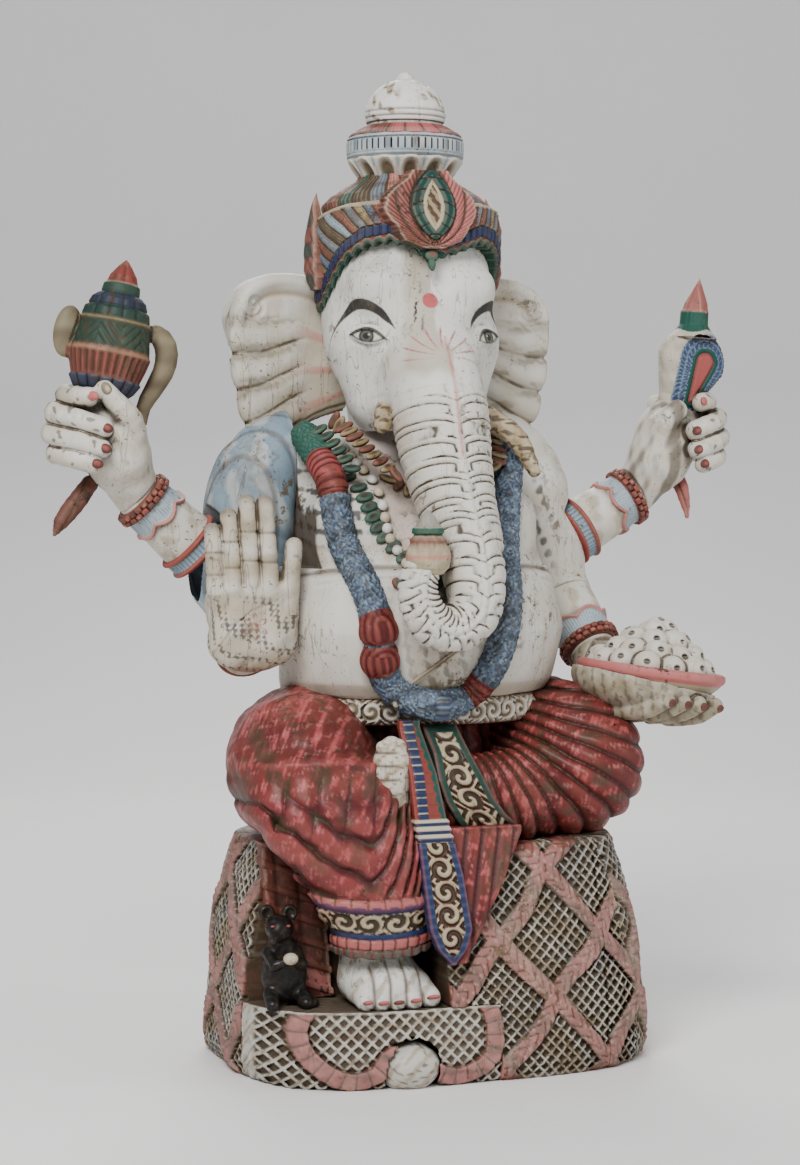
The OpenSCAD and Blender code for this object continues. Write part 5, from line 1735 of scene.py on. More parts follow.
def capPaint(p, n):
    d, spin, r = lathe(p, capRings)
    colour = tint(p, "chalk")
    stain = (step(ripple(p, 18, 6), 0.1, 0.5) * step(abs(spin - 0.7), 0.8, 0.3)
             + step(ripple(p, 14, 8), 0.2, 0.5) * step(abs(spin + 1.0), 0.6, 0.3))
    colour = coats(colour,
        ("ochre", 0.75 * np.clip(stain, 0, 1)),
        ("umber", 0.8 * step(ripple(p, 7, 9), 0.1, 0.45) * np.clip(stain, 0, 1)))
    for at in (947.5, 953, 959):
        colour = lay(colour, "umber", 0.55 * bump(p[2] - at, 0.9))
    leaf = arches(9 * spin)
    petals = lay(lay(tint(p, "brick"), "umber", 0.35), "rose", 0.85 * step(abs(spin + 0.1), 0.7, 0.35))
    petals = lay(petals, "umber", 0.85 * step(leaf, 0.5, 0.15))
    petals = lay(petals, "pink", 0.35 * step(arches(45 * spin), 0.7, 0.95))
    return lay(colour, petals, step(p[2], 945.5, 944.5))


sculpt("crownCap", capField, (-60, -74, 931), (60, 46, 1000), 1.1, capPaint, whiteWood,
       nodes=["crown_cap"], slot="whitewash")

# jewel in its flame of leaves
jewel = {"x": -9, "low": 821, "high": 892, "half": 23}


def jewelMap(p):
    x, z = p[0] - jewel["x"], p[2]
    f = (z - jewel["low"]) / (jewel["high"] - jewel["low"])
    reach = jewel["half"] * np.sin(math.pi * np.clip(f, 0, 1) ** 0.9) ** 0.8
    gemEdge = (abs(x) - reach) * 0.8 + 60 * most(0, -f) + 60 * most(0, f - 1)
    h = z - 812
    wide = np.interp(h, [0, 8, 26, 40, 50, 58, 68, 80, 90, 98], [8, 28, 42, 48, 47, 38, 27, 16, 8, 1])
    frill = 2.5 * arches(h / 7.5)
    flame = (abs(x) - wide - frill) * 0.8
    return x, z, f, gemEdge, most(flame, h - 99, -h)


def jewelField(p):
    x, z, f, gemEdge, flame = jewelMap(p)
    front = -(p[1] + np.interp(z, [812, 835, 860, 910], [118, 119, 113, 102]) - 0.0035 * x * x)
    fan = np.arctan2(abs(x), z - 815)
    away = far(x, z - 815)
    feather = arches(away / 9 + fan * 9)
    vein = arches(fan * 46)
    thick = 4.5 + 2.4 * feather ** 0.7 + 0.5 * vein
    d = both(flame, most(front - thick, -front - 12), 2)
    seg = arches(away / 3.6)
    frame = abs(gemEdge + 4.5) - 4.5
    d = join(d, both(frame, most(front - 9.5 + 1.2 * step(seg, 0.3, 0.1), -front), 1.5), 1)
    inner = both(gemEdge + 9, most(front - 7.5 - 1.4 * arches(x / 1.7 + z / 2.6), -front), 1.5)
    d = join(d, inner, 0.6)
    rim = abs(gemEdge + 11) - 1.6
    return join(d, both(rim, most(front - 9.5, -front), 1), 0.5)


def jewelPaint(p, n):
    x, z, f, gemEdge, flame = jewelMap(p)
    fan = np.arctan2(abs(x), z - 815)
    away = far(x, z - 815)
    feather = arches(away / 9 + fan * 9)
    vein = arches(fan * 46)
    colour = coats(tint(p, "brick"),
        ("red", 0.2),
        ("umber", 0.45 * (x < 6)),
        ("pink", 0.45 * step(vein, 0.7, 0.95)),
        ("pink", 0.75 * (x > 6) * step(vein, 0.2, 0.6)),
        ("umber", 0.9 * step(feather, 0.5, 0.15)),
        ("wine", 0.6 * step(vein, 0.35, 0.1)),
        ("cream", 0.45 * bump(flame + 1.6, 1.0)),
        ("soot", step(gemEdge, 2.2, 1.2)))
    seg = arches(away / 3.6)
    teal = lay(lay(tint(p, "teal"), "soot", 0.35), "soot", 0.85 * step(seg, 0.3, 0.12))
    colour = coats(colour,
        (teal, step(gemEdge, 0.4, -0.4)),
        (lay(tint(p, "cream"), "olive", 0.4), step(gemEdge, -9, -9.8)))
    carving = np.sin(x / 1.7 + z / 2.6) + ripple(p, 6, 5)
    core = lay(lay(tint(p, "ochre"), "cream", 0.25), "umber", step(carving, 0.4, -0.4) * 0.95)
    return lay(colour, core, step(gemEdge, -12.6, -13.2))


sculpt("crownJewel", jewelField, (-70, -134, 808), (54, -80, 914), 1.0, jewelPaint, brightWood,
       nodes=["crown_jewel"], slot="teal_green")
studs("browDrop", [(-10, -118, 806), (-10, -119, 798)], [(0, 0.2, 1)] * 2, [(0, -1, 0)] * 2,
      [(6, 7, 4), (8, 4, 3.5)], ["green", "teal"], brightWood, eye=["brick", "green"], dent=0.2)


def leafParts(side):
    at = (95.0 * side, -10.0, 776.0)

    def shape(p):
        y, h = p[1] - at[1] - 0.05 * (p[2] - at[2]), p[2] - at[2]
        wide = np.interp(h, [0, 12, 40, 62, 80, 92, 99], [11, 17, 18, 14, 8, 3, 0.5])
        return (abs(y) - wide - 0.8 * arches(h / 5)) * 0.85, y, h

    def field(p):
        edge, y, h = shape(p)
        out = (p[0] - at[0]) * side
        rib = arches((h + abs(y) * 1.3) / 5.2)
        thick = np.interp(h, [0, 20, 50, 80, 99], [2, 6.5, 6, 2.5, -1.5])
        d = both(edge, most(out - thick - 2.0 * step(edge, 0, -9) - 1.2 * rib ** 0.7,
                            -out - 6 + 0.09 * most(h - 60, 0)), 2)
        return most(d, -h, h - 99.5)

    def paint(p, n):
        edge, y, h = shape(p)
        rib = arches((h + abs(y) * 1.3) / 5.2)
        return coats(tint(p, "pink"),
            ("brick", 0.6 + 0.3 * ripple(p, 20, 3)),
            ("umber", 0.35 + 0.3 * ripple(p, 12, 4)),
            ("teal", 0.75 * step(edge, -4, -7) * (np.floor(h / 16) % 2 == 0)),
            ("umber", 0.75 * step(rib, 0.35, 0.1)),
            ("cream", 0.5 * bump(edge + 2, 1.4)))

    return field, paint


for side, node, name in ((-1, "crown_right_leaf", "crownRightLeaf"),
                         (1, "crown_left_leaf", "crownLeftLeaf")):
    field, paint = leafParts(side)
    sculpt(name, field, (95 * side - 12, -38, 772), (95 * side + 12, 24, 878), 1.1, paint, brightWood,
           nodes=[node], slot="pink_red")

# conch and goad, which lift out of the fists
conch = {"lean": 11, "wall": [(24, 8.8), (31, 8.8), (33, 12), (40, 19), (50, 29), (61, 35.5), (75, 40),
                              (86, 42.5), (89, 41), (100, 39.5), (116, 36.5), (119, 37.5), (121, 35.5),
                              (130, 33.5), (133, 31), (141, 28), (147, 21), (149, 21.5), (156, 20.5),
                              (158, 18), (166, 15.5), (176, 8.5), (183, 2.5), (184, 0.5)]}


def pegFrame(p, side, lean):
    a = math.radians(lean)
    x, y, z = p[0] - 323.0 * side, p[1] - 10.0, p[2] - 624.0
    return [math.cos(a) * x - math.sin(a) * z, y, math.sin(a) * x + math.cos(a) * z]


def conchMap(p):
    q = pegFrame(p, -1, conch["lean"])
    wall = np.array(conch["wall"], float)
    r, spin = far(q[0], q[1]), np.arctan2(q[0], -q[1])
    return q, (r - np.interp(q[2], wall[:, 0], wall[:, 1])) * 0.85, r, spin, q[2]


scarf = curve([(30, 4, 112, 7), (46, 6, 116, 10), (58, 6, 104, 11.5), (60, 6, 84, 11), (53, 6, 62, 9.5),
               (46, 6, 42, 7.5), (48, 6, 22, 4.5)], 14)


def conchField(p):
    q, d, r, spin, h = conchMap(p)
    ribs = arches(spin * 15)
    d = d + 1.8 * (1 - ribs ** 0.6) * step(h, 62, 65) * step(h, 85, 82)
    petals = arches(spin * 8)
    d = d - 2.6 * petals ** 0.6 * step(h, 40, 48) * step(h, 62, 59) + 0.8
    chevron = arches((h * 0.9 + abs(((spin * 5 / math.pi) % 2) - 1) * 22) / 3.2)
    d = d + 1.3 * (1 - chevron ** 0.7) * step(h, 91, 93) * step(h, 115, 113)
    tier = arches(spin * 7 + 0.4)
    d = d - 1.6 * tier ** 0.6 * step(h, 121, 124) * step(h, 148, 145) + 1.0 * step(h, 121, 124)
    d = d + 1.2 * bump(h - 133, 1.1)
    fold = arches(spin * 3 + 0.5)
    d = d + 3.0 * (1 - fold ** 0.5) * step(h, 158, 162)
    left = egg(q, (-45, 6, 101), (14, 8, 26))
    left = join(left, stick(q, (-40, 6, 84), (-32, 5, 74), 7, 3), 6)
    right = rope(q, scarf)[0] + 0.35 * most(abs(q[1] - 6) - 5, 0)
    d = join(join(d, left, 2), right, 2)
    peg = most(far(q[0], q[1]) - 7, -22 - h, h - 30)
    return least(d, peg) if np.any(h < 26) else d


def conchCut(p):
    q, d, r, spin, h = conchMap(p)
    peg = most(r - 7.0, -22 - h, h - 34)
    return least(most(conchField(p), 24.1 - h), peg)


def conchPaint(p, n):
    q, d, r, spin, h = conchMap(p)
    colour = tint(p, "brick")
    ribs = arches(spin * 15)
    ribbed = lay(lay(tint(p, "brick"), "pink", 0.35 * step(ribs, 0.85, 1)), "umber",
                 0.9 * step(ribs, 0.6, 0.2))
    colour = lay(colour, ribbed, step(h, 61, 63))
    petals = arches(spin * 8)
    blue = lay(lay(tint(p, "slate"), "navy", 0.6), "soot", 0.25 + 0.7 * step(petals, 0.4, 0.1))
    colour = coats(colour,
        (blue, step(h, 62, 60)),
        ("ochre", step(h, 46, 38)))
    green = lay(tint(p, "green"), "soot", 0.5)
    chevron = arches((h * 0.9 + abs(((spin * 5 / math.pi) % 2) - 1) * 22) / 3.2)
    green = lay(green, "umber", 0.8 * step(chevron, 0.45, 0.15))
    colour = coats(colour,
        (green, step(h, 90, 92)),
        (lay(tint(p, "ochre"), "pink", 0.35), bump(h - 87.5, 2.6)))
    tier = arches(spin * 7 + 0.4)
    colour = coats(colour,
        (lay(tint(p, "teal"), "soot", 0.35 + 0.5 * step(tier, 0.4, 0.1)), step(h, 121, 123)),
        (lay(lay(tint(p, "navy"), "teal", 0.35), "soot", 0.4 + 0.4 * step(tier, 0.4, 0.1)),
         step(h, 132, 134)),
        ("ochre", 0.8 * bump(h - 119, 1.8)),
        (lay(tint(p, "green"), "soot", 0.4), step(h, 147, 148)))
    fold = arches(spin * 3 + 0.5)
    colour = coats(colour,
        (lay(lay(tint(p, "red"), "brick", 0.4), "umber", 0.8 * step(fold, 0.3, 0.05)), step(h, 157, 158)),
        ("cream", 0.4 * bump(h - 158, 1.0)),
        ("umber", 0.15 + 0.35 * step(ripple(p, 24, 12), 0.0, 0.6)))
    wing = (abs(q[0]) > 1) & (d > 2.5) & (h > 15)
    cloth = lay(lay(tint(p, "cream"), "olive", 0.75), "umber", 0.35 + 0.35 * ripple(p, 30, 5))
    return lay(colour, cloth, wing.astype(float))


sculpt("conchBody", conchCut, *roomFor("conch", (30, 14, 4), (20, 10, 6)), 1.1, conchPaint, brightWood,
       body="conch", nodes=["conch"], slot="teal_green")

goad = {"lean": 4, "heart": ((6, 44), (20, 86), 2.5, 9.5), "disc": ((-3, 44), (9, 84), 21, 38), "thick": 14}


def goadMap(p):
    q = pegFrame(p, 1, goad["lean"])

    def drop(a, b, ra, rb):
        return stick([q[0], q[0] * 0, q[2]], (a[0], 0, a[1]), (b[0], 0, b[1]), ra, rb)

    return q, drop(*goad["heart"]), drop(*goad["disc"]), far(q[0], q[1]), q[2]


def goadField(p):
    q, heart, disc, r, h = goadMap(p)
    front = abs(q[1])
    dome = goad["thick"] - 5 * step(disc, -14, 0) ** 2
    tiles = (heart > 5.5) & (heart < 20)
    d = both(disc, front - dome, 5)
    spin = np.arctan2(q[2] - 70, q[0] - 14)
    seg = arches(spin * 19)
    gap = least(abs(heart - 6), abs(heart - 13), abs(heart - 20))
    d = d + tiles * (1.1 * step(seg, 0.35, 0.1) + 1.0 * bump(gap, 0.8))
    d = d - 2.4 * step(heart, 0.5, -3) + 1.0 * bump(heart - 0.8, 0.9) - 0.8 * bump(heart - 3, 1.4)
    collar = far(q[0] - 10, q[1]) - np.interp(h, [112, 120, 126, 140], [26, 19, 15, 14.5])
    collar = most(collar, 112 - h, h - 141) - 0.5 * arches(np.arctan2(q[0] - 10, q[1]) * 7)
    lean = q[0] - 10 - (h - 140) * 0.10
    facet = np.arctan2(lean, -q[1])
    wall = (np.interp(h, [139, 150, 162, 176], [15, 12.5, 7, 0.6])
            * (1 - 0.10 * (1 - abs(np.cos(facet * 2.5)))))
    spire = most((far(lean, q[1]) - wall) * 0.9, 139 - h, h - 177)
    d = join(join(d, collar, 2), spire, 1)
    neck = most(r - 9, 24.1 - h, h - 60)
    peg = most(r - 7.0, -22 - h, h - 34)
    return least(most(d, 24.1 - h), neck, peg)


def goadPaint(p, n):
    q, heart, disc, r, h = goadMap(p)
    colour = lay(lay(tint(p, "cream"), "chalk", 0.45), "olive", 0.25 + 0.25 * ripple(p, 20, 4))
    face = (abs(n[1]) > 0.45) & (h < 122)
    spin = np.arctan2(q[2] - 70, q[0] - 14)
    seg = arches(spin * 19)
    tile = lay(lay(tint(p, "navy"), "blue", 0.3), "sky", 0.85 * step(seg, 0.4, 0.15))
    gap = least(abs(heart - 6), abs(heart - 13), abs(heart - 20))
    tile = lay(tile, "sky", 0.85 * bump(gap, 0.9))
    colour = coats(colour,
        (tile, face * (heart < 20.8)),
        ("teal", face * (heart < 5.6)),
        (lay(tint(p, "red"), "pink", 0.25), face * (heart < 0.8)))
    green = lay(tint(p, "green"), "teal", 0.4 + 0.4 * ripple(p, 9, 3))
    edge = 119 + 2 * np.sin(np.arctan2(q[0] - 10, q[1]) * 3)
    colour = lay(colour, green, (h > edge).astype(float))
    facet = np.arctan2(q[0] - 10, -q[1])
    red = lay(lay(tint(p, "pink"), "brick", 0.55), "cream", 0.5 * bump(arches(facet * 2.5), 0.14))
    return lay(colour, red, (h > 139.5).astype(float))


sculpt("goadBody", goadField, *roomFor("goad", (8, 6, 4), (18, 6, 6)), 1.0, goadPaint, brightWood,
       body="goad", nodes=["goad"], slot="whitewash")


# leaf tails glued under the fists
def tailParts(side):
    hub = np.array((323.0 * side, 10, 624))
    tip = np.array((-40, -12, -88.0)) if side < 0 else np.array((5, -12, -76.0))
    size = 1.0 if side < 0 else 0.62
    root = hub + (-4 if side < 0 else 2, 0, -45)
    path = curve([(*root, 9), (*(hub + tip * (0.42, 0.6, 0.68)), 10 * max(size, 0.8)),
                  (*(hub + tip * (0.85, 0.9, 0.9)), 9 * size), (*(hub + tip * 1.08), 2.5)], 12)

    def field(p):
        d, run, turn = rope(p, path)
        return d + 1.6 * (1 - abs(np.cos(turn * 1.5 + run / 22)) ** 0.6) + 0.4 * arches(run / 3.2)

    def paint(p, n):
        d, run, turn = rope(p, path)
        return coats(tint(p, "brick"),
            ("umber", 0.45 * (side < 0) + 0.2),
            ("pink", 0.5 * (side > 0) + 0.12),
            ("umber", 0.75 * step(abs(np.cos(turn * 1.5 + run / 22)), 0.4, 0.1)))

    return field, paint


for side, node, name in ((-1, "conch_tassel", "conchTail"), (1, "goad_tassel", "goadTail")):
    field, paint = tailParts(side)
    sculpt(name, field, *roomFor(node, 8, 8), 1.0, paint, brightWood, nodes=[node], slot="red_frame")

# red cloth over both legs
clothWood = weathered("clothPaint", stain=0.12, chips=0.45, hairs=0.25, rough=0.5, under="umber",
                      edge="rose", edgeShare=0.22)
cloth = {"thigh": [(62, 44, 271, 18), (78, 30, 280, 50), (104, -20, 293, 68), (130, -70, 301, 74),
                   (144, -112, 299, 72), (148, -148, 291, 54), (146, -170, 285, 26)],
         "shin": [(120, -86, -184, 44, 35), (148, -88, -184, 50, 38), (180, -94, -184, 60, 42),
                  (225, -112, -180, 78, 46), (265, -134, -166, 80, 54), (309, -136, -150, 72, 52)],
         "fold": [(-60, -158, 271, 34), (0, -156, 269, 38), (70, -146, 269, 44), (130, -130, 271, 44)]}


def thighField(p, side):
    rows = [((x * side, y, z), r) for x, y, z, r in cloth["thigh"]]
    return gather([stick(p, a, b, ra, rb) for (a, ra), (b, rb) in zip(rows, rows[1:])], 10)


def hipField(p):
    return both(stack(p, [(225, 0, -10, 66, 92), (255, 0, -12, 92, 98), (300, 0, -14, 96, 98),
                          (340, 0, -14, 90, 90)], 2.6), p[2] - 342, 6)


def hemMap(p):
    x = p[0] + 98
    lift = 6 * (x / 40) ** 2
    side = np.arctan2(x, -(p[1] + 150))
    return p[2] - lift * 0.4, side * 52


def rightLegCloth(p):
    shin = stack(p, [(z, x, y, rx, ry) for z, x, y, rx, ry in cloth["shin"]], 2.2)
    return join(thighField(p, -1), shin, 26)


def swags(p):  # hanging loops of cloth between knee and hem
    x = p[0] + 114
    rise = np.where(x > 0, 66 * (abs(x) / 41) ** 2, 70 * (abs(x) / 96) ** 1.4)
    return (p[2] - 186 - rise) / 17 + 0.25 * ripple(p, 45, 11), x


def rightLegField(p):
    d = rightLegCloth(p)
    h, s = hemMap(p)
    loops, x = swags(p)
    low = step(p[2], 300, 262) * step(p[2], 180, 190)
    d = d - 6.0 * (abs(np.cos(math.pi * loops * 0.5)) ** 0.7 - 0.5) * low * step(loops, 7, 4)
    d = (d + 4.0 * (1 - abs(np.cos((p[0] + 150 - 0.25 * (p[2] - 260)) / 9.5)) ** 0.5)
         * step(abs(p[2] - 272), 46, 14) * step(p[1], -90, -130))
    d = d + 1.6 * ripple(p, 34, 9)
    band = step(p[2], 190, 184)
    for at, size in ((182, 1.6), (169, 1.3), (149, 1.3), (143, 1.2), (133, 1.2)):
        d = d + size * bump(h - at, 1.1) * band
    d = (d - 1.6 * bump(h - 172.5, 5) * band - 1.2 * (arches(math.pi * s / 11) ** 0.6)
         * step(abs(h - 176), 5, 3.5) * band)
    relief = scroll(s, h - 159, 19, 8.5)
    d = d - 1.3 * relief * step(abs(h - 159), 9, 7.5) * band
    d = d - 1.6 * (arches(math.pi * s / 9) ** 0.6) * step(abs(h - 138), 5, 3.6) * band
    d = d - 2.4 * step(h, 133.5, 131.5) * (arches(math.pi * s / 7.6) ** 0.6) * band
    return most(d, 124 + 2.5 * (1 - arches(math.pi * s / 15.2)) - h)


def clothPaint(p, n, folds, seedAt=0):
    colour = lay(lay(tint(p, "red"), "brick", 0.7), "wine", 0.45 + 0.5 * ripple(p, 60, 21 + seedAt))
    # pink on the fold ridges: partly worn paint, partly painted highlight
    worn = step(ripple(p, 18, 23 + seedAt) + 0.5 * ripple(p, 5, 24) + 0.5 * (folds - 0.6), 0.30, 0.95)
    colour = coats(colour,
        ("rose", 0.75 * worn),
        ("pink", 0.6 * step(ripple(p, 15, 29 + seedAt) + 0.6 * ripple(p, 4, 24) + 0.4 * (folds - 0.6), 0.5,
                            0.95)))
    dark = step(ripple(p, 40, 27 + seedAt) + 0.4 * ripple(p, 9, 28), 0.20, 0.6)
    colour = lay(colour, "umber", 0.75 * dark)
    # painted shade in the fold valleys: wine, then soot in the deepest
    return lay(lay(colour, "wine", 0.9 * step(folds, 0.62, 0.3)), "soot", 0.45 * step(folds, 0.3, 0.08))


def rightLegPaint(p, n):
    h, s = hemMap(p)
    loops, x = swags(p)
    low = step(p[2], 300, 262) * step(loops, 7, 4)
    crease = (abs(np.cos((p[0] + 150 - 0.25 * (p[2] - 260)) / 9.5)) * step(abs(p[2] - 272), 46, 14)
              * step(p[1], -90, -130))
    crease = np.where(crease > 0, 1 - (1 - crease) * step(abs(p[2] - 272), 46, 14), 1)
    folds = abs(np.cos(math.pi * loops * 0.5)) * low + (1 - low)
    colour = clothPaint(p, n, folds * (0.35 + 0.65 * crease))
    knee = step(far(p[0] + 160, p[1] + 90, p[2] - 350), 78, 30)
    crackle = step(abs(ripple(p, 9, 51)), 0.10, 0.22)
    colour = lay(colour, lay(tint(p, "rose"), "pink", 0.5), 0.65 * knee * crackle
                 * step(ripple(p, 30, 52), -0.3, 0.3))
    # painted shadow on the inner side of the right leg, low down
    inner = step(p[0], -92, -72) * step(p[2], 236, 262)
    colour = lay(colour, "umber", 0.75 * inner)
    band = step(h, 184, 182.5)
    arch = arches(math.pi * s / 11)
    row = lay(lay(tint(p, "brick"), "pink", 0.75), "umber", step(arch, 0.3, 0.1) * 0.8)
    colour = lay(colour, row, band)
    navy = lay(lay(tint(p, "navy"), "soot", 0.25), "blue", 0.12)
    low1 = step(h, 174 + 2.5 * arch, 173 + 2.5 * arch)
    colour = lay(colour, navy, low1 * band)
    relief = scroll(s, h - 159, 19, 8.5)
    lace = lay(lay(tint(p, "umber"), "soot", 0.4), lay(tint(p, "cream"), "ochre", 0.35),
               step(relief, -0.1, 0.4))
    colour = coats(colour,
        (lace, step(h, 169, 168) * band),
        (navy, step(h, 150, 149) * band))
    low2 = step(h, 144, 143)
    arch2 = arches(math.pi * s / 9)
    pinkRow = lay(lay(tint(p, "brick"), "pink", 0.7), "wine", step(arch2, 0.35, 0.1))
    colour = lay(colour, pinkRow, low2 * band)
    bead = arches(math.pi * s / 7.6)
    beads = lay(lay(tint(p, "teal"), "green", 0.4), "brick", step(bead, 0.5, 0.25))
    return lay(colour, beads, step(h, 133, 132) * band)


sculpt("rightLegCloth", rightLegField, (-228, -238, 120), (-24, 62, 384), 1.7, rightLegPaint, clothWood,
       nodes=["right_leg"], slot="pink_red", whole=rightLegCloth)


def leftLegCloth(p):
    rows = [(row[:3], row[3]) for row in cloth["fold"]]
    shin = gather([stick(p, a, b, ra, rb) for (a, ra), (b, rb) in zip(rows, rows[1:])], 8)
    return join(thighField(p, 1), shin, 22)


def leftFolds(p):  # pleats fanning out from under the belt to the knee
    away = far(p[0], p[2] - 378)
    angle = np.arctan2(p[0] + 0.06 * (away - 120), 378 - p[2])
    return abs(np.cos(angle * 26 + 0.3 * ripple(p, 70, 31))), away


def leftLegField(p):
    d = leftLegCloth(p)
    folds, away = leftFolds(p)
    d = d - 5.5 * (folds ** 0.7 - 0.5) * step(away, 30, 90) * step(p[1], 30, -20)
    return most(d + 1.2 * ripple(p, 34, 33), 224.5 - p[2])


def leftLegPaint(p, n):
    folds, away = leftFolds(p)
    return clothPaint(p, n, most(folds, step(p[1], -20, 20)), 3)


sculpt("leftLegCloth", leftLegField, (-74, -226, 222), (232, 64, 384), 1.7, leftLegPaint, clothWood,
       nodes=["left_leg"], slot="pink_red")


def hipPaint(p, n):
    return clothPaint(p, n, abs(np.cos(np.arctan2(p[0], -(p[1] + 14)) * 14 + 0.3 * ripple(p, 50, 35))), 6)


def hipBlock(p):
    pleat = abs(np.cos(np.arctan2(p[0], -(p[1] + 14)) * 14 + 0.3 * ripple(p, 50, 35)))
    return hipField(p) - 3.0 * (pleat ** 0.7 - 0.5) + 1.0 * ripple(p, 24, 36)


sculpt("hipCloth", hipBlock, (-102, -120, 222), (102, 92, 346), 1.9, hipPaint, clothWood,
       nodes=["hip_block"], slot="pink_red")

# feet
foot = {"toes": [(-113, 82, 9), (-98, 81, 9.5), (-83, 81, 9.5), (-66, 82, 10), (-48, 84, 11.5)],
        "tip": -219}


def rightFootField(p):
    body = join(egg(p, (-84, -178, 96), (42, 44, 26)), stick(p, (-88, -164, 100), (-88, -164, 140), 30,
        36), 16)
    toes = gather([stick(p, (x, foot["tip"] + 30, z + 6), (x, foot["tip"] + r * 0.2 + abs(x + 70) * 0.12,
        z), r, r * 0.95) for x, z, r in foot["toes"]], 2.5)
    d = join(body, toes, 9)
    d = both(d, 75 - p[2], 2)
    return most(d, p[2] - 147)


def rightFootPaint(p, n):
    colour = tint(p, "chalk")
    colour = lay(colour, "ochre", 0.45 * step(ripple(p, 18, 41), 0.1, 0.5))
    gaps = sum(bump(p[0] - x, 1.6) for x in (-105.5, -90.5, -74.5, -57.5)) * step(p[1], -196, -204)
    return coats(colour,
        ("umber", 0.8 * np.clip(gaps, 0, 1)),
        ("umber", 0.7 * step(p[2], 83, 76) * step(ripple(p, 6, 42), -0.3, 0.3)))


sculpt("rightFoot", rightFootField, (-132, -234, 73), (-38, -126, 150), 1.2, rightFootPaint, whiteWood,
       nodes=["right_foot"], slot="whitewash")
nails = [(x, foot["tip"] - r * 0.78 + abs(x + 70) * 0.12, z + 2) for x, z, r in foot["toes"]]
studs("toeNails", nails, [(1, 0, 0)] * 5, [(0, -0.94, 0.34)] * 5,
      [(r * 0.55, 2.0, r * 0.62) for x, z, r in foot["toes"]], ["rose", "rose", "brick", "rose", "rose"],
      brightWood, square=2.4)


def toeRing(p):
    ring = far(far(p[0] + 98, p[2] - 85) - 11, p[1] + 205) - 3.2
    return ring + 0.8 * (1 - arches(np.arctan2(p[0] + 98, p[2] - 85) * 5) ** 0.6)


def toeRingPaint(p, n):
    return lay(lay(tint(p, "teal"), "sky", 0.25), "umber", step(arches(np.arctan2(p[0] + 98, p[2] - 85)
        * 5), 0.35, 0.1) * 0.8)


sculpt("toeRing", toeRing, (-114, -212, 69), (-82, -198, 101), 1.0, toeRingPaint, brightWood)


def leftFootField(p):
    d = egg(p, (-78, -188, 296), (20, 15, 40))
    for i, (z, r) in enumerate(((272, 9), (287, 8.5), (301, 8), (314, 7.5), (326, 6.5))):
        d = join(d, stick(p, (-70, -190, z), (-92 + 0.8 * i, -192, z), r, r * 0.9), 3)
    return d


def leftFootPaint(p, n):
    colour = lay(tint(p, "cream"), "chalk", 0.5)
    colour = lay(colour, "ochre", 0.55 * step(ripple(p, 12, 43), 0.0, 0.5))
    gaps = sum(bump(p[2] - z, 1.5) for z in (279.5, 294.5, 308, 320.5)) * step(p[0], -70, -80)
    return coats(colour,
        ("umber", 0.85 * np.clip(gaps, 0, 1)),
        ("wine", 0.5 * step(ripple(p, 8, 44), 0.35, 0.6)))


sculpt("leftFoot", leftFootField, (-106, -208, 250), (-52, -166, 340), 1.1, leftFootPaint, whiteWood,
       nodes=["left_foot"], slot="whitewash")

# long sash tail with its short side sashes
tail = {"edge": [(342, -64, -42), (300, -64, -36), (257, -63, -30), (236, -60, -26), (200, -57, -18),
                 (151, -52, -12), (132, -44, -18), (119, -32, -29)]}


def tailMap(p):
    rows = np.array(tail["edge"][::-1], float)
    low = np.interp(p[2], rows[:, 0], rows[:, 1])
    high = np.interp(p[2], rows[:, 0], rows[:, 2])
    edge = most(low - p[0], p[0] - high)
    y = np.interp(p[2], [119, 150, 240, 300, 342], [-231, -229, -216, -200, -170])
    return edge, low, high, -(p[1] - y)


def tailField(p):
    edge, low, high, front = tailMap(p)
    d = both(edge, most(front - 3, -front - 6), 1.5)
    d = most(d, 119 - p[2])
    upper = step(p[2], 254, 258)
    bead = arches(math.pi * p[2] / 7.5)
    d = d - upper * 2.2 * bead ** 0.6 * step(abs(p[0] - low - 9), 6, 4)
    bars = step(p[2], 234, 236) * (1 - upper)
    d = d - bars * 1.6 * arches(math.pi * (p[2] - 235) / 7.5) ** 0.6
    lower = step(p[2], 235, 233)
    relief = scroll(p[2], p[0] - (low + high) / 2, 22, 12)
    inner = step(edge, -5.5, -7)
    return d - lower * (1.6 * relief * inner + 1.6 * (1 - inner))


def tailPaint(p, n):
    edge, low, high, front = tailMap(p)
    upper = step(p[2], 256, 257)
    bead = arches(math.pi * p[2] / 7.5)
    navy = lay(lay(tint(p, "navy"), "soot", 0.35), "blue", 0.15)
    beads = lay(navy, "cream", step(bead, 0.4, 0.15) * 0.8)
    column = step(abs(p[0] - low - 9), 5.5, 4.5)
    arch = arches(math.pi * p[2] / 10)
    flank = lay(lay(tint(p, "brick"), "red", 0.5), "teal", step(p[0] - high + 5 + 3 * arch, 0, 1))
    flank = lay(flank, "umber", 0.7 * step(arch, 0.25, 0.05))
    colour = lay(flank, beads, column)
    bars = lay(tint(p, "cream"), navy, step(np.sin(math.pi * (p[2] - 235) / 3.75), -0.2, 0.2))
    colour = lay(colour, bars, 1 - upper)
    lower = step(p[2], 235, 234)
    relief = scroll(p[2], p[0] - (low + high) / 2, 22, 12)
    lace = lay(lay(tint(p, "umber"), "soot", 0.4), lay(tint(p, "cream"), "ochre", 0.35),
               step(relief, -0.1, 0.4))
    border = lay(navy, "blue", 0.35 * step(arches(p[2] / 3), 0.7, 1))
    return lay(colour, lay(border, lace, step(edge, -5.5, -6.3)), lower)


sculpt("sashTail", tailField, (-70, -244, 116), (-6, -158, 346), 1.1, tailPaint, clothWood,
       nodes=["sash_tail"], slot="navy_scroll")

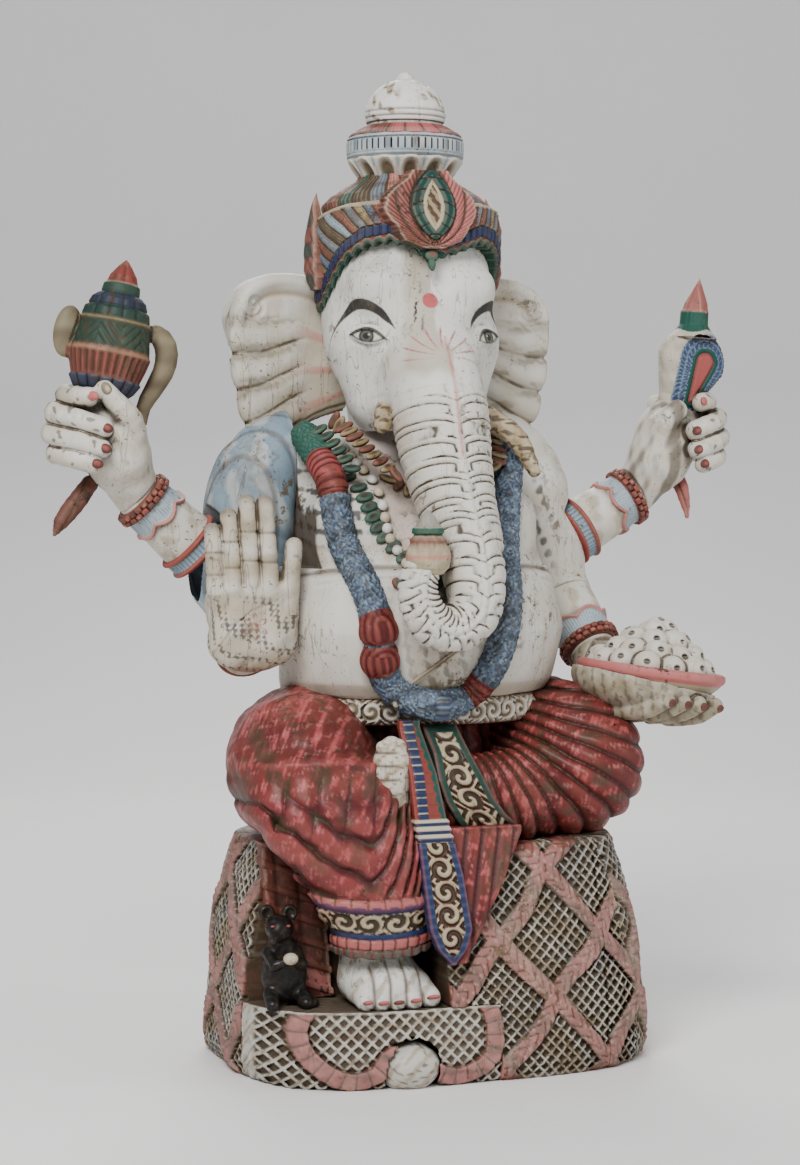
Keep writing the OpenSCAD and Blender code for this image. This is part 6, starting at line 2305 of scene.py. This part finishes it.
sash = {"line": [(342, -36, 0), (318, -34, 4), (292, -34, 14), (270, -26, 26), (256, -17, 38),
                 (243, -6, 54), (232, 14, 56), (222, 36, 50)]}


def sashMap(p):
    rows = np.array(sash["line"][::-1], float)
    low = np.interp(p[2], rows[:, 0], rows[:, 1])
    high = np.interp(p[2], rows[:, 0], rows[:, 2])
    y = np.interp(p[2], [222, 240, 262, 292, 318, 342], [-176, -190, -199, -199, -184, -158])
    edge = most(most(low - p[0], p[0] - high) * 0.8, p[2] - 342, 222 - p[2])
    return edge, low, high, -(p[1] - y)


def sashField(p):
    edge, low, high, front = sashMap(p)
    s = p[2] * 1.1
    relief = scroll(s, p[0] - (low + high) / 2, 24, 14)
    inner = step(edge, -6, -7)
    d = both(edge, most(front - 3 - 1.6 * relief * inner - 1.4 * (1 - inner), -front - 9), 1.5)
    return d


def sashPaint(p, n):
    edge, low, high, front = sashMap(p)
    relief = scroll(p[2] * 1.1, p[0] - (low + high) / 2, 24, 14)
    lace = lay(lay(tint(p, "umber"), "soot", 0.4), lay(tint(p, "cream"), "ochre", 0.35),
               step(relief, -0.1, 0.4))
    border = lay(lay(lay(tint(p, "green"), "teal", 0.5), "soot", 0.35), "umber",
                 0.3 * step(arches(p[2] / 2.6), 0.8, 1))
    return lay(border, lace, step(edge, -6, -6.8))


sculpt("sideSash", sashField, (-40, -212, 218), (62, -146, 346), 1.1, sashPaint, clothWood)


def apronMap(p):
    wide = np.interp(p[2], [118, 130, 160, 200, 240], [7, 12, 26, 38, 46])
    middle = np.interp(p[2], [118, 160, 240], [-22, -16, 6])
    x = p[0] - middle
    return (abs(x) - wide) * 0.9, x, abs(np.cos(x / 5.4 + (p[2] - 180) * 0.012))


def apronField(p):
    edge, x, fold = apronMap(p)
    front = -(p[1] + 201 + 0.21 * (240 - p[2])) - 3.5 * fold ** 0.7
    return most(both(edge, most(front - 3, -front - 16), 3), 118 - p[2], p[2] - 246)


def apronPaint(p, n):
    edge, x, fold = apronMap(p)
    return clothPaint(p, n, fold, 9)


sculpt("frontPleats", apronField, (-52, -238, 116), (58, -176, 248), 1.3, apronPaint, clothWood)

# pierced rock seat
rock = {"levels": [(0, 0, -72, 210, 157), (16, 0, -72, 215, 162.5), (72, 0, -72, 214, 159),
                   (135, 0, -68, 207, 148), (191, 0, -63, 197, 140), (225, 0, -62, 185, 133)], "cell": 8.5,
        "mid": (81, 137), "diamond": (110, 124)}


def rockMap(p):  # run round the block from its front middle, then where a point falls in the diamonds
    x, y = p[0], p[1] + 68
    s = np.where(abs(x) * 0.72 < -y, x, 0)
    s = np.where((abs(x) * 0.72 >= -y) & (x > 0), 190 + (y + 137), s)
    s = np.where((abs(x) * 0.72 >= -y) & (x <= 0), -190 - (y + 137), s)
    s = np.where(y > abs(x) * 0.72, np.sign(x) * (470 + 190 - abs(x)), s)
    return s


def rockPattern(p):
    s = rockMap(p)
    wob = 4 * np.sin(p[2] / 17 + s / 31)
    u = (s + wob - rock["mid"][0]) / rock["diamond"][0]
    v = (p[2] + 3 * np.sin(s / 19) - rock["mid"][1]) / rock["diamond"][1]
    one, two = abs((u + v) % 1 - 0.5), abs((u - v) % 1 - 0.5)
    ribbon = least(one, two) * 82
    inside = ((np.round(u + v) + np.round(u - v)) % 2 == 0)
    a = (s + p[2]) / rock["cell"]
    b = (s - p[2]) / rock["cell"]
    holes = least(arches(math.pi * a * 0.7071), arches(math.pi * b * 0.7071))
    leafRun = np.where(one < two, u - v, u + v) * 7 + ribbon / 9 + 0.3 * ripple(p, 30, 62)
    return s, ribbon, holes, leafRun, inside


def rockRelief(p):
    s, ribbon, holes, leafRun, inside = rockPattern(p)
    leafy = step(ribbon, 9.5, 8)
    pierced = step(holes, 0.30, 0.52) * (1 - leafy)
    vein = arches(math.pi * leafRun)
    return ribbon, leafy, pierced, vein, inside


def rockBlock(p):
    d = stack(p, rock["levels"], 3.3)
    return d + 1.6 * ripple(p, 90, 61)


def dressRock(d, p):
    ribbon, leafy, pierced, vein, inside = rockRelief(p)
    side = step(d, -26, -14)
    face = side * step(p[2], 223, 216) * step(p[2], 2, 6)
    return d + face * (3.4 * pierced - 2.4 * leafy * (0.4 + 0.6 * vein ** 0.7)
                       + 1.2 * bump(ribbon - 10.5, 1.4)) + 0.6 * ripple(p, 16, 63)


def rockPaint(p, n):
    ribbon, leafy, pierced, vein, inside = rockRelief(p)
    colour = coats(tint(p, "chalk"),
        ("stone", 0.6),
        ("slate", 0.35 * step(ripple(p, 60, 64), -0.3, 0.5)),
        ("ochre", 0.6 * step(ripple(p, 46, 65) + 0.5 * inside, 0.2, 0.8)),
        ("umber", 0.55 * step(ripple(p, 11, 66), 0.15, 0.5)),
        # painted shadow: the shallow pierced holes are painted near black
        ("umber", 0.92 * step(pierced, 0.1, 0.6)))
    leaves = lay(lay(tint(p, "pink"), "brick", 0.65 + 0.35 * ripple(p, 50, 67)), "umber",
                 0.5 * step(ripple(p, 44, 69), 0.0, 0.5))
    leaves = lay(leaves, "umber", 0.8 * step(vein, 0.5, 0.15))
    leaves = lay(leaves, "cream", 0.35 * step(ripple(p, 9, 68), 0.4, 0.6))
    return coats(colour,
        (leaves, leafy),
        ("umber", 0.8 * bump(ribbon - 10.2, 1.3)))


def coreField(p):
    d = dressRock(rockBlock(p), p)
    d = most(d, abs(p[0]) - 140.5)
    niche = most(p[0] + 31, p[0] - 20, 75 - p[2], p[1] + 130)
    ledge = most(p[0] - 20, p[2] - 75, p[1] + 130)
    return most(d, -niche, -ledge, -p[2])


sculpt("seatCore", coreField, (-146, -244, -1), (146, 100, 227), 1.55, rockPaint, whiteWood,
       nodes=["seat_core"], slot="stone_wash", whole=rockBlock)


def boardField(p, side):
    d = dressRock(rockBlock(p), p)
    d = most(d, 140.5 - p[0] * side, -p[2])
    return d if side > 0 else most(d, -130 - p[1])


sculpt("seatLeftBoard", lambda p: boardField(p, 1), (138, -236, -1), (222, 96, 227), 1.55, rockPaint,
       whiteWood, nodes=["seat_left_board"], slot="stone_wash", whole=rockBlock)
sculpt("seatRightBoard", lambda p: boardField(p, -1), (-222, -134, -1), (-138, 96, 227), 1.55, rockPaint,
       whiteWood, nodes=["seat_right_board"], slot="stone_wash", whole=rockBlock)

# ledge under the foot with its heart of bands
heart = [(-38, 116), (-4, 92), (12, 62), (10, 26), (-20, 9), (-50, 16), (-62, 30), (-79, 36), (-96, 30),
         (-108, 14), (-136, 9), (-166, 28), (-178, 52), (-172, 76), (-152, 88)]
heartPath = curve([(x, -190, z, 8) for x, z in heart], 34)


def heartMap(p):
    flat = [p[0], p[1] * 0 - 190, p[2]]
    d, run, turn = rope(flat, heartPath, (0, -1, 0))
    return d, run


def ledgeField(p):
    d = rockBlock(p)
    d = most(d, p[2] - 75, p[0] - 20.5, p[1] + 130)
    front = step(-p[1], 150, 158) * step(p[2], 74, 70)
    h, run = heartMap(p)
    a, b = (p[0] + p[2]) / 13, (p[0] - p[2]) / 13
    cross = least(arches(math.pi * a), arches(math.pi * b))
    notch = arches(math.pi * run / 13)
    ribbon = step(h, 1.5, -0.5)
    d = d + front * (2.2 * (1 - ribbon) * step(cross, 0.35, 0.6)
                     - 2.8 * ribbon * (0.5 + 0.5 * notch ** 0.6) + 1.2 * bump(h - 2, 1.4))
    stone = ball(p, (-70, -214, 20), 33)
    return most(most(d, -stone) + 0.7 * ripple(p, 12, 71), -p[2])


def ledgePaint(p, n):
    h, run = heartMap(p)
    a, b = (p[0] + p[2]) / 13, (p[0] - p[2]) / 13
    cross = least(arches(math.pi * a), arches(math.pi * b))
    colour = lay(lay(tint(p, "chalk"), "stone", 0.5), "ochre", 0.4 * step(ripple(p, 26, 72), 0, 0.5))
    front = step(-p[1], 150, 156) * step(p[2], 75, 72)
    colour = coats(colour,
        ("umber", 0.85 * step(cross, 0.35, 0.6) * front),
        ("umber", 0.5 * step(ripple(p, 9, 73), 0.2, 0.55)))
    notch = arches(math.pi * run / 13)
    band = lay(lay(tint(p, "pink"), "brick", 0.5 + 0.2 * ripple(p, 18, 74)), "umber",
               0.85 * step(notch, 0.35, 0.1))
    band = lay(band, "umber", 0.5 * step(ripple(p, 22, 78), 0.1, 0.6))
    return coats(colour,
        (band, step(h, 1.5, 0.5) * front),
        ("umber", 0.75 * bump(h - 2, 1.4) * front))


sculpt("footLedge", ledgeField, (-222, -244, -1), (23, -126, 78), 1.4, ledgePaint, whiteWood,
       nodes=["foot_ledge"], slot="stone_wash", whole=rockBlock)


def stoneField(p):
    return most(egg(p, (-70, -214, 19), (31, 29, 24)) + 1.2 * ripple(p, 30, 75), -p[2])


def stonePaint(p, n):
    return coats(tint(p, "chalk"),
        ("stone", 0.4),
        ("ochre", 0.5 * step(ripple(p, 14, 76), 0.1, 0.5)),
        ("umber", 0.7 * step(ripple(p, 8, 77), 0.3, 0.6)))


sculpt("footStone", stoneField, (-104, -248, -1), (-36, -184, 48), 1.4, stonePaint, whiteWood,
       nodes=["foot_stone"], slot="whitewash")


# mouse with a sweet, head turned to its right
def mouseField(p):
    body = gather([egg(p, (-178, -158, 104), (23, 20, 27)), egg(p, (-181, -164, 126), (16, 15, 20))], 8)
    head = gather([egg(p, (-186, -170, 152), (14, 14, 13)), stick(p, (-190, -178, 149), (-199, -190, 143),
        8, 4)], 5)
    d = join(body, head, 5)
    for x, y in ((-174, -165), (-196, -160)):
        ear = carve(far(p[0] - x, (p[1] - y) * 1.7, p[2] - 166) - 8.2,
                    far(p[0] - x, p[1] - y + 7, p[2] - 166) - 6.2, 1)
        d = join(d, ear, 2.5)
    for x, y in ((-166, -178), (-194, -182)):
        d = join(d, stick(p, (x - 2, -166, 128), (x, y, 118), 6.5, 5), 4)
        d = join(d, stick(p, (x, y, 118), (-181, -188, 124), 5, 4.2), 3)
        d = join(d, stick(p, (x, -168, 88), (x + (3 if x > -180 else -3), -184, 80), 8, 6.5), 5)
    tail = rope(p, curve([(-160, -146, 84, 4), (-152, -156, 80, 4), (-150, -172, 79, 3.4),
                          (-156, -184, 79, 2.4)], 8))[0]
    d = join(d, tail, 2)
    return both(d, 75 - p[2], 1)


def mousePaint(p, n):
    colour = lay(tint(p, "soot"), "umber", 0.25 * step(ripple(p, 10, 81), 0.2, 0.6))
    return lay(colour, "slate", 0.10 * step(ripple(p, 14, 82), 0.3, 0.6))


blackWood = weathered("blackPaint", stain=0.12, chips=0.35, hairs=0.2, rough=0.42, under="umber",
                      edge="umber", edgeShare=0.3)
sculpt("mouse", mouseField, *roomFor("mouse", (12, 12, 3), (8, 10, 4)), 1.0, mousePaint, blackWood,
       nodes=["mouse"], slot="black_paint")
studs("mouseSweet", [(-182, -193, 126)], [(1, 0, 0)], [(0, -1, 0.1)], [(7.5, 6, 7.5)], ["cream"], whiteWood)
studs("mouseEyes", [(-181, -183, 156), (-196, -181, 156)], [(1, 0, 0)] * 2,
      [(0.3, -1, 0.1), (-0.8, -0.8, 0.1)], [(2.2, 1.4, 2.2)] * 2, ["red", "red"], brightWood)


# banded drape down the niche behind the mouse
def drapeMap(p):
    return p[0] + 0.08 * (p[2] - 150), p[2] + 0.35 * (p[0] + 160)


def nicheField(p):
    x, h = drapeMap(p)
    fold = arches(x / 7)
    d = most(abs(x + 158) - 30, abs(p[1] + 132) - 7 - 2.2 * fold ** 0.7)
    band = arches(math.pi * h / 21)
    return most(d - 1.8 * step(band, 0.8, 0.95), 76 - p[2], p[2] - 232)


def nichePaint(p, n):
    x, h = drapeMap(p)
    fold = arches(x / 7)
    colour = clothPaint(p, n, fold, 12)
    colour = lay(colour, "umber", 0.45)
    band = arches(math.pi * h / 21)
    return coats(colour,
        (lay(tint(p, "brick"), "umber", 0.4), step(band, 0.8, 0.9)),
        ("pink", 0.8 * step(h, 112, 106) * step(h, 88, 94)))


sculpt("nicheDrape", nicheField, (-196, -146, 74), (-118, -120, 234), 1.5, nichePaint, brightWood)

# bare wood for the joints hidden inside
bareWood = weathered("bareWood", stain=0.1, chips=0.0, hairs=0.4, under="wood", edge="wood", edgeShare=0.1,
                     plain="wood")
for node in ("seat_dowels", "body_dowels", "arm_dowels", "ear_dowels", "crown_dowel", "ornament_pins"):
    peg = frame["nodes"][node]
    peg.data.materials.clear()
    peg.data.materials.append(bareWood)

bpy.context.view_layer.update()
print(f"all pieces built in {time.time() - started:.1f} s")
